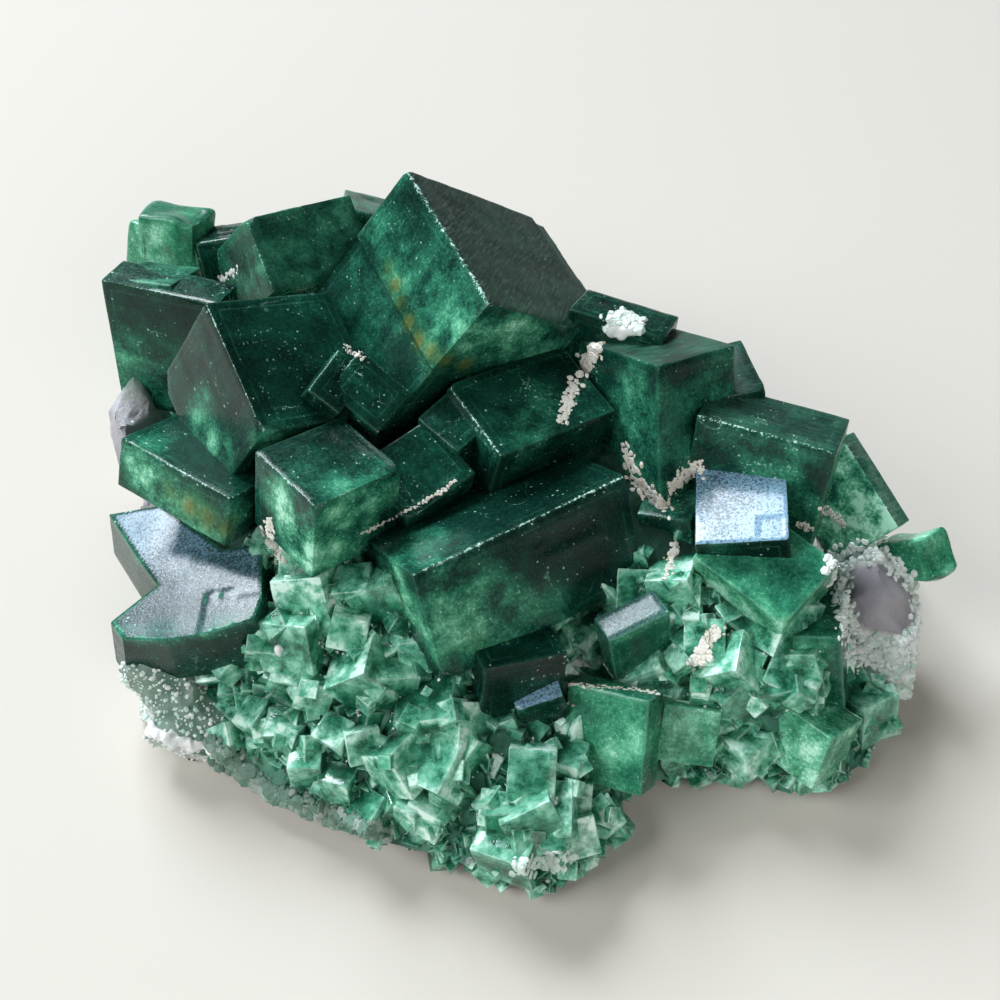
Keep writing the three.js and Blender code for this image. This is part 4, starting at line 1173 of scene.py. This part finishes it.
grainRuns = {
    "behindCrown": {"run": [(612, 326), (616, 316), (628, 318), (640, 324)], "size": 1.1, "spread": 0.9,
                    "lumps": 110, "flat": 0.3, "tint": 0.4},
    "behindLeft": {"run": [(219, 281), (228, 275), (236, 270)], "size": 0.6, "spread": 0.4, "lumps": 34},
    "sugarLeft": {"run": [(834, 556), (842, 600), (852, 645)], "size": 0.75, "spread": 1.3, "lumps": 300,
                  "flat": 0.3, "tint": 0.25},
    "sugarAbove": {"run": [(848, 548), (884, 555), (914, 588), (923, 630)], "size": 0.75, "spread": 1.1,
                   "lumps": 330, "flat": 0.3, "tint": 0.25},
    "sugarBelow": {"run": [(852, 655), (884, 659), (914, 650)], "size": 0.75, "spread": 1.5, "lumps": 280,
                   "flat": 0.3, "tint": 0.25},
    "crustGapsLeft": {"run": [(300, 610), (350, 650), (330, 700), (390, 760)], "size": 0.35, "spread": 5.0,
                      "lumps": 240, "gaps": True},
    "crustGapsMiddle": {"run": [(430, 690), (470, 760), (520, 770), (560, 810)], "size": 0.35, "spread": 5.0,
                        "lumps": 240, "gaps": True},
    "crustGapsRight": {"run": [(680, 700), (740, 650), (790, 700), (840, 640)], "size": 0.35, "spread": 5.0,
                       "lumps": 160, "gaps": True},
    "frontBottom": {"run": [(515, 868), (540, 864), (566, 858)], "size": 0.8, "spread": 1.2, "lumps": 120,
                    "tint": 0.7},
}
ledgeRuns = {       # the grey-green rim of rock under the crust at the front left
    "leftEnd": {"run": [(205, 742), (228, 764), (252, 782), (282, 798)], "size": 1.3, "spread": 1.5,
                "lumps": 330, "flat": 0.4, "tint": 1.7},
    "rightEnd": {"run": [(282, 798), (310, 808), (345, 822), (384, 832)], "size": 1.1, "spread": 1.2,
                 "lumps": 300, "flat": 0.4, "tint": 1.7},
}
lumpRuns = {
    "whiteBall": {"run": [(279, 650), (281, 650)], "size": 1.2, "spread": 0.1, "lumps": 4, "flat": 0.0},
    "leftCorner": {"run": [(135, 722), (160, 735), (188, 744), (212, 750)], "size": 1.3, "spread": 0.6,
                   "lumps": 90, "flat": 0.5},
    "behindCrown": {"run": [(608, 330), (622, 332), (634, 330)], "size": 1.4, "spread": 0.3, "lumps": 14,
                    "flat": 0.5},
}
pixelsPerMm = 7.8


def inGap(x, y, at):        # whether the surface around that place stands higher on all sides together
    around = [spotOn(surfaceTrees, x + dx, y + dy)[0] for dx, dy in ((7, 0), (-7, 0), (0, 7), (0, -7))]
    heights = [spot[2] for spot in around if spot is not None]
    return len(heights) == 4 and sum(heights) / 4 > at[2] + 0.35


def ballShape(subdivisions):
    ball = bmesh.new()
    bmesh.ops.create_icosphere(ball, subdivisions=subdivisions, radius=0.5)
    points = np.array([vert.co for vert in ball.verts])
    faces = np.array([[vert.index for vert in face.verts] for face in ball.faces])
    ball.free()
    return points, faces


def runLumps(name, runs, seed, voxel, material, slot, node):   # fused when there is a voxel size
    chance = np.random.default_rng(seed)
    ballPoints, ballFaces = ballShape(2 if voxel else 1)
    points, faces, tones = [], [], []
    for run in runs.values():
        line = np.array(run["run"], float)
        for i in range(run["lumps"]):
            t = (i + chance.random()) / run["lumps"] * (len(line) - 1)
            spot = line[int(t)] + (line[int(t) + 1] - line[int(t)]) * (t % 1)
            spot += chance.normal(0, run["spread"] * pixelsPerMm * 0.5, 2)
            at, facing = spotOn(surfaceTrees, *spot)
            if at is None or (run.get("gaps") and not inGap(*spot, at)):
                continue
            size = run["size"] * (0.4 + 0.8 * chance.random())
            stretch = 0.6 + 0.8 * chance.random(3)
            out = ballPoints @ turnMatrix(chance.uniform(0, 90, 3)).T * stretch
            out -= np.outer(out @ facing, facing) * run.get("flat", 0.65)
            faces.append(ballFaces + len(points) * len(ballPoints))
            points.append(at + facing * size * 0.05 + out * size)
            green = run.get("tint", 0.0) * (0.4 + 0.6 * chance.random())
            tones.append(np.tile([green, 0, 0, 0], (len(out), 1)))
    points = np.concatenate(points)
    points[:, 2] = np.maximum(points[:, 2], 0.1)
    mesh = bpy.data.meshes.new(name)
    mesh.from_pydata(points * mm, [], np.concatenate(faces).tolist())
    if voxel:
        carrier = bpy.data.objects.new(name + "Carrier", mesh)
        bpy.context.scene.collection.objects.link(carrier)
        fuse = carrier.modifiers.new("fuse", "REMESH")
        fuse.mode = "VOXEL"
        fuse.voxel_size = voxel * mm
        mesh = bpy.data.meshes.new_from_object(carrier.evaluated_get(bpy.context.evaluated_depsgraph_get()))
        bpy.data.objects.remove(carrier)
        mesh.shade_smooth()
        tones = [np.zeros((len(mesh.vertices), 4))]
    mesh.attributes.new("tone", "FLOAT_COLOR", "POINT")
    mesh.attributes["tone"].data.foreach_set("color", np.concatenate(tones).astype(np.float32).ravel())
    print(name, len(mesh.polygons), "faces")
    return toObject(name, mesh, material, slot, node)


surfaceTrees = treesOf([item for item in bpy.context.scene.objects if item.type == "MESH" and not item.hide_render])
runLumps("clayCrumbs", clayRuns, 71, 0, clay, "quartz", "quartz_matrix")
runLumps("quartzGrains", grainRuns, 72, 0, sugarQuartz, "quartz", "quartz_matrix")
runLumps("ledgeGrains", ledgeRuns, 74, 0, quartzRock, "quartz", "quartz_matrix")
runLumps("quartzLumps", lumpRuns, 73, 0.16, sugarQuartz, "quartz", "quartz_matrix")
print("seams filled")


# Floor, light and colour

floorLook = {"half": 1.6, "colour": "#cbc6bd"}
floorMesh = bpy.data.meshes.new("floor")
h = floorLook["half"]
floorMesh.from_pydata([(-h, -h, 0), (h, -h, 0), (h, h, 0), (-h, h, 0)], [], [(0, 1, 2, 3)])
floor = bpy.data.objects.new("floor", floorMesh)
floor.location.z = -0.00002
bpy.context.scene.collection.objects.link(floor)
paper = bpy.data.materials.new("palePaper")
paper.use_nodes = True
paper.node_tree.nodes["Principled BSDF"].inputs["Base Color"].default_value = hexToLinear(floorLook["colour"])
paper.node_tree.nodes["Principled BSDF"].inputs["Roughness"].default_value = 0.9
floorMesh.materials.append(paper)

lights = {
    "window": {"way": (-0.38, 0.66, 0.62), "away": 2.0, "size": (1.1, 0.7), "power": 62.0,
               "colour": (0.86, 0.93, 1.0)},
    "skylight": {"way": (-0.75, -0.2, 0.63), "away": 0.8, "size": (0.45, 0.45), "power": 4.4,
                 "colour": (0.96, 0.98, 1.0)},
    "softBox": {"way": (0.36, -0.7, 0.62), "away": 0.42, "size": (0.3, 0.22), "power": 0.55,
                "colour": (1.0, 0.98, 0.95)},
}
for name, light in lights.items():
    lamp = bpy.data.lights.new(name, "AREA")
    lamp.shape = "RECTANGLE"
    lamp.size, lamp.size_y = light["size"]
    lamp.energy = light["power"]
    lamp.color = light["colour"]
    holder = bpy.data.objects.new(name, lamp)
    way = Vector(light["way"]).normalized()
    holder.location = way * light["away"]
    holder.rotation_euler = way.to_track_quat("Z", "Y").to_euler()
    bpy.context.scene.collection.objects.link(holder)
world = bpy.data.worlds.new("studio")
world.use_nodes = True
world.node_tree.nodes["Background"].inputs["Color"].default_value = (0.93, 0.97, 1.0, 1.0)
world.node_tree.nodes["Background"].inputs["Strength"].default_value = 0.05
bpy.context.scene.world = world
bpy.context.scene.view_settings.view_transform = "Standard"
print("floor and lights placed")
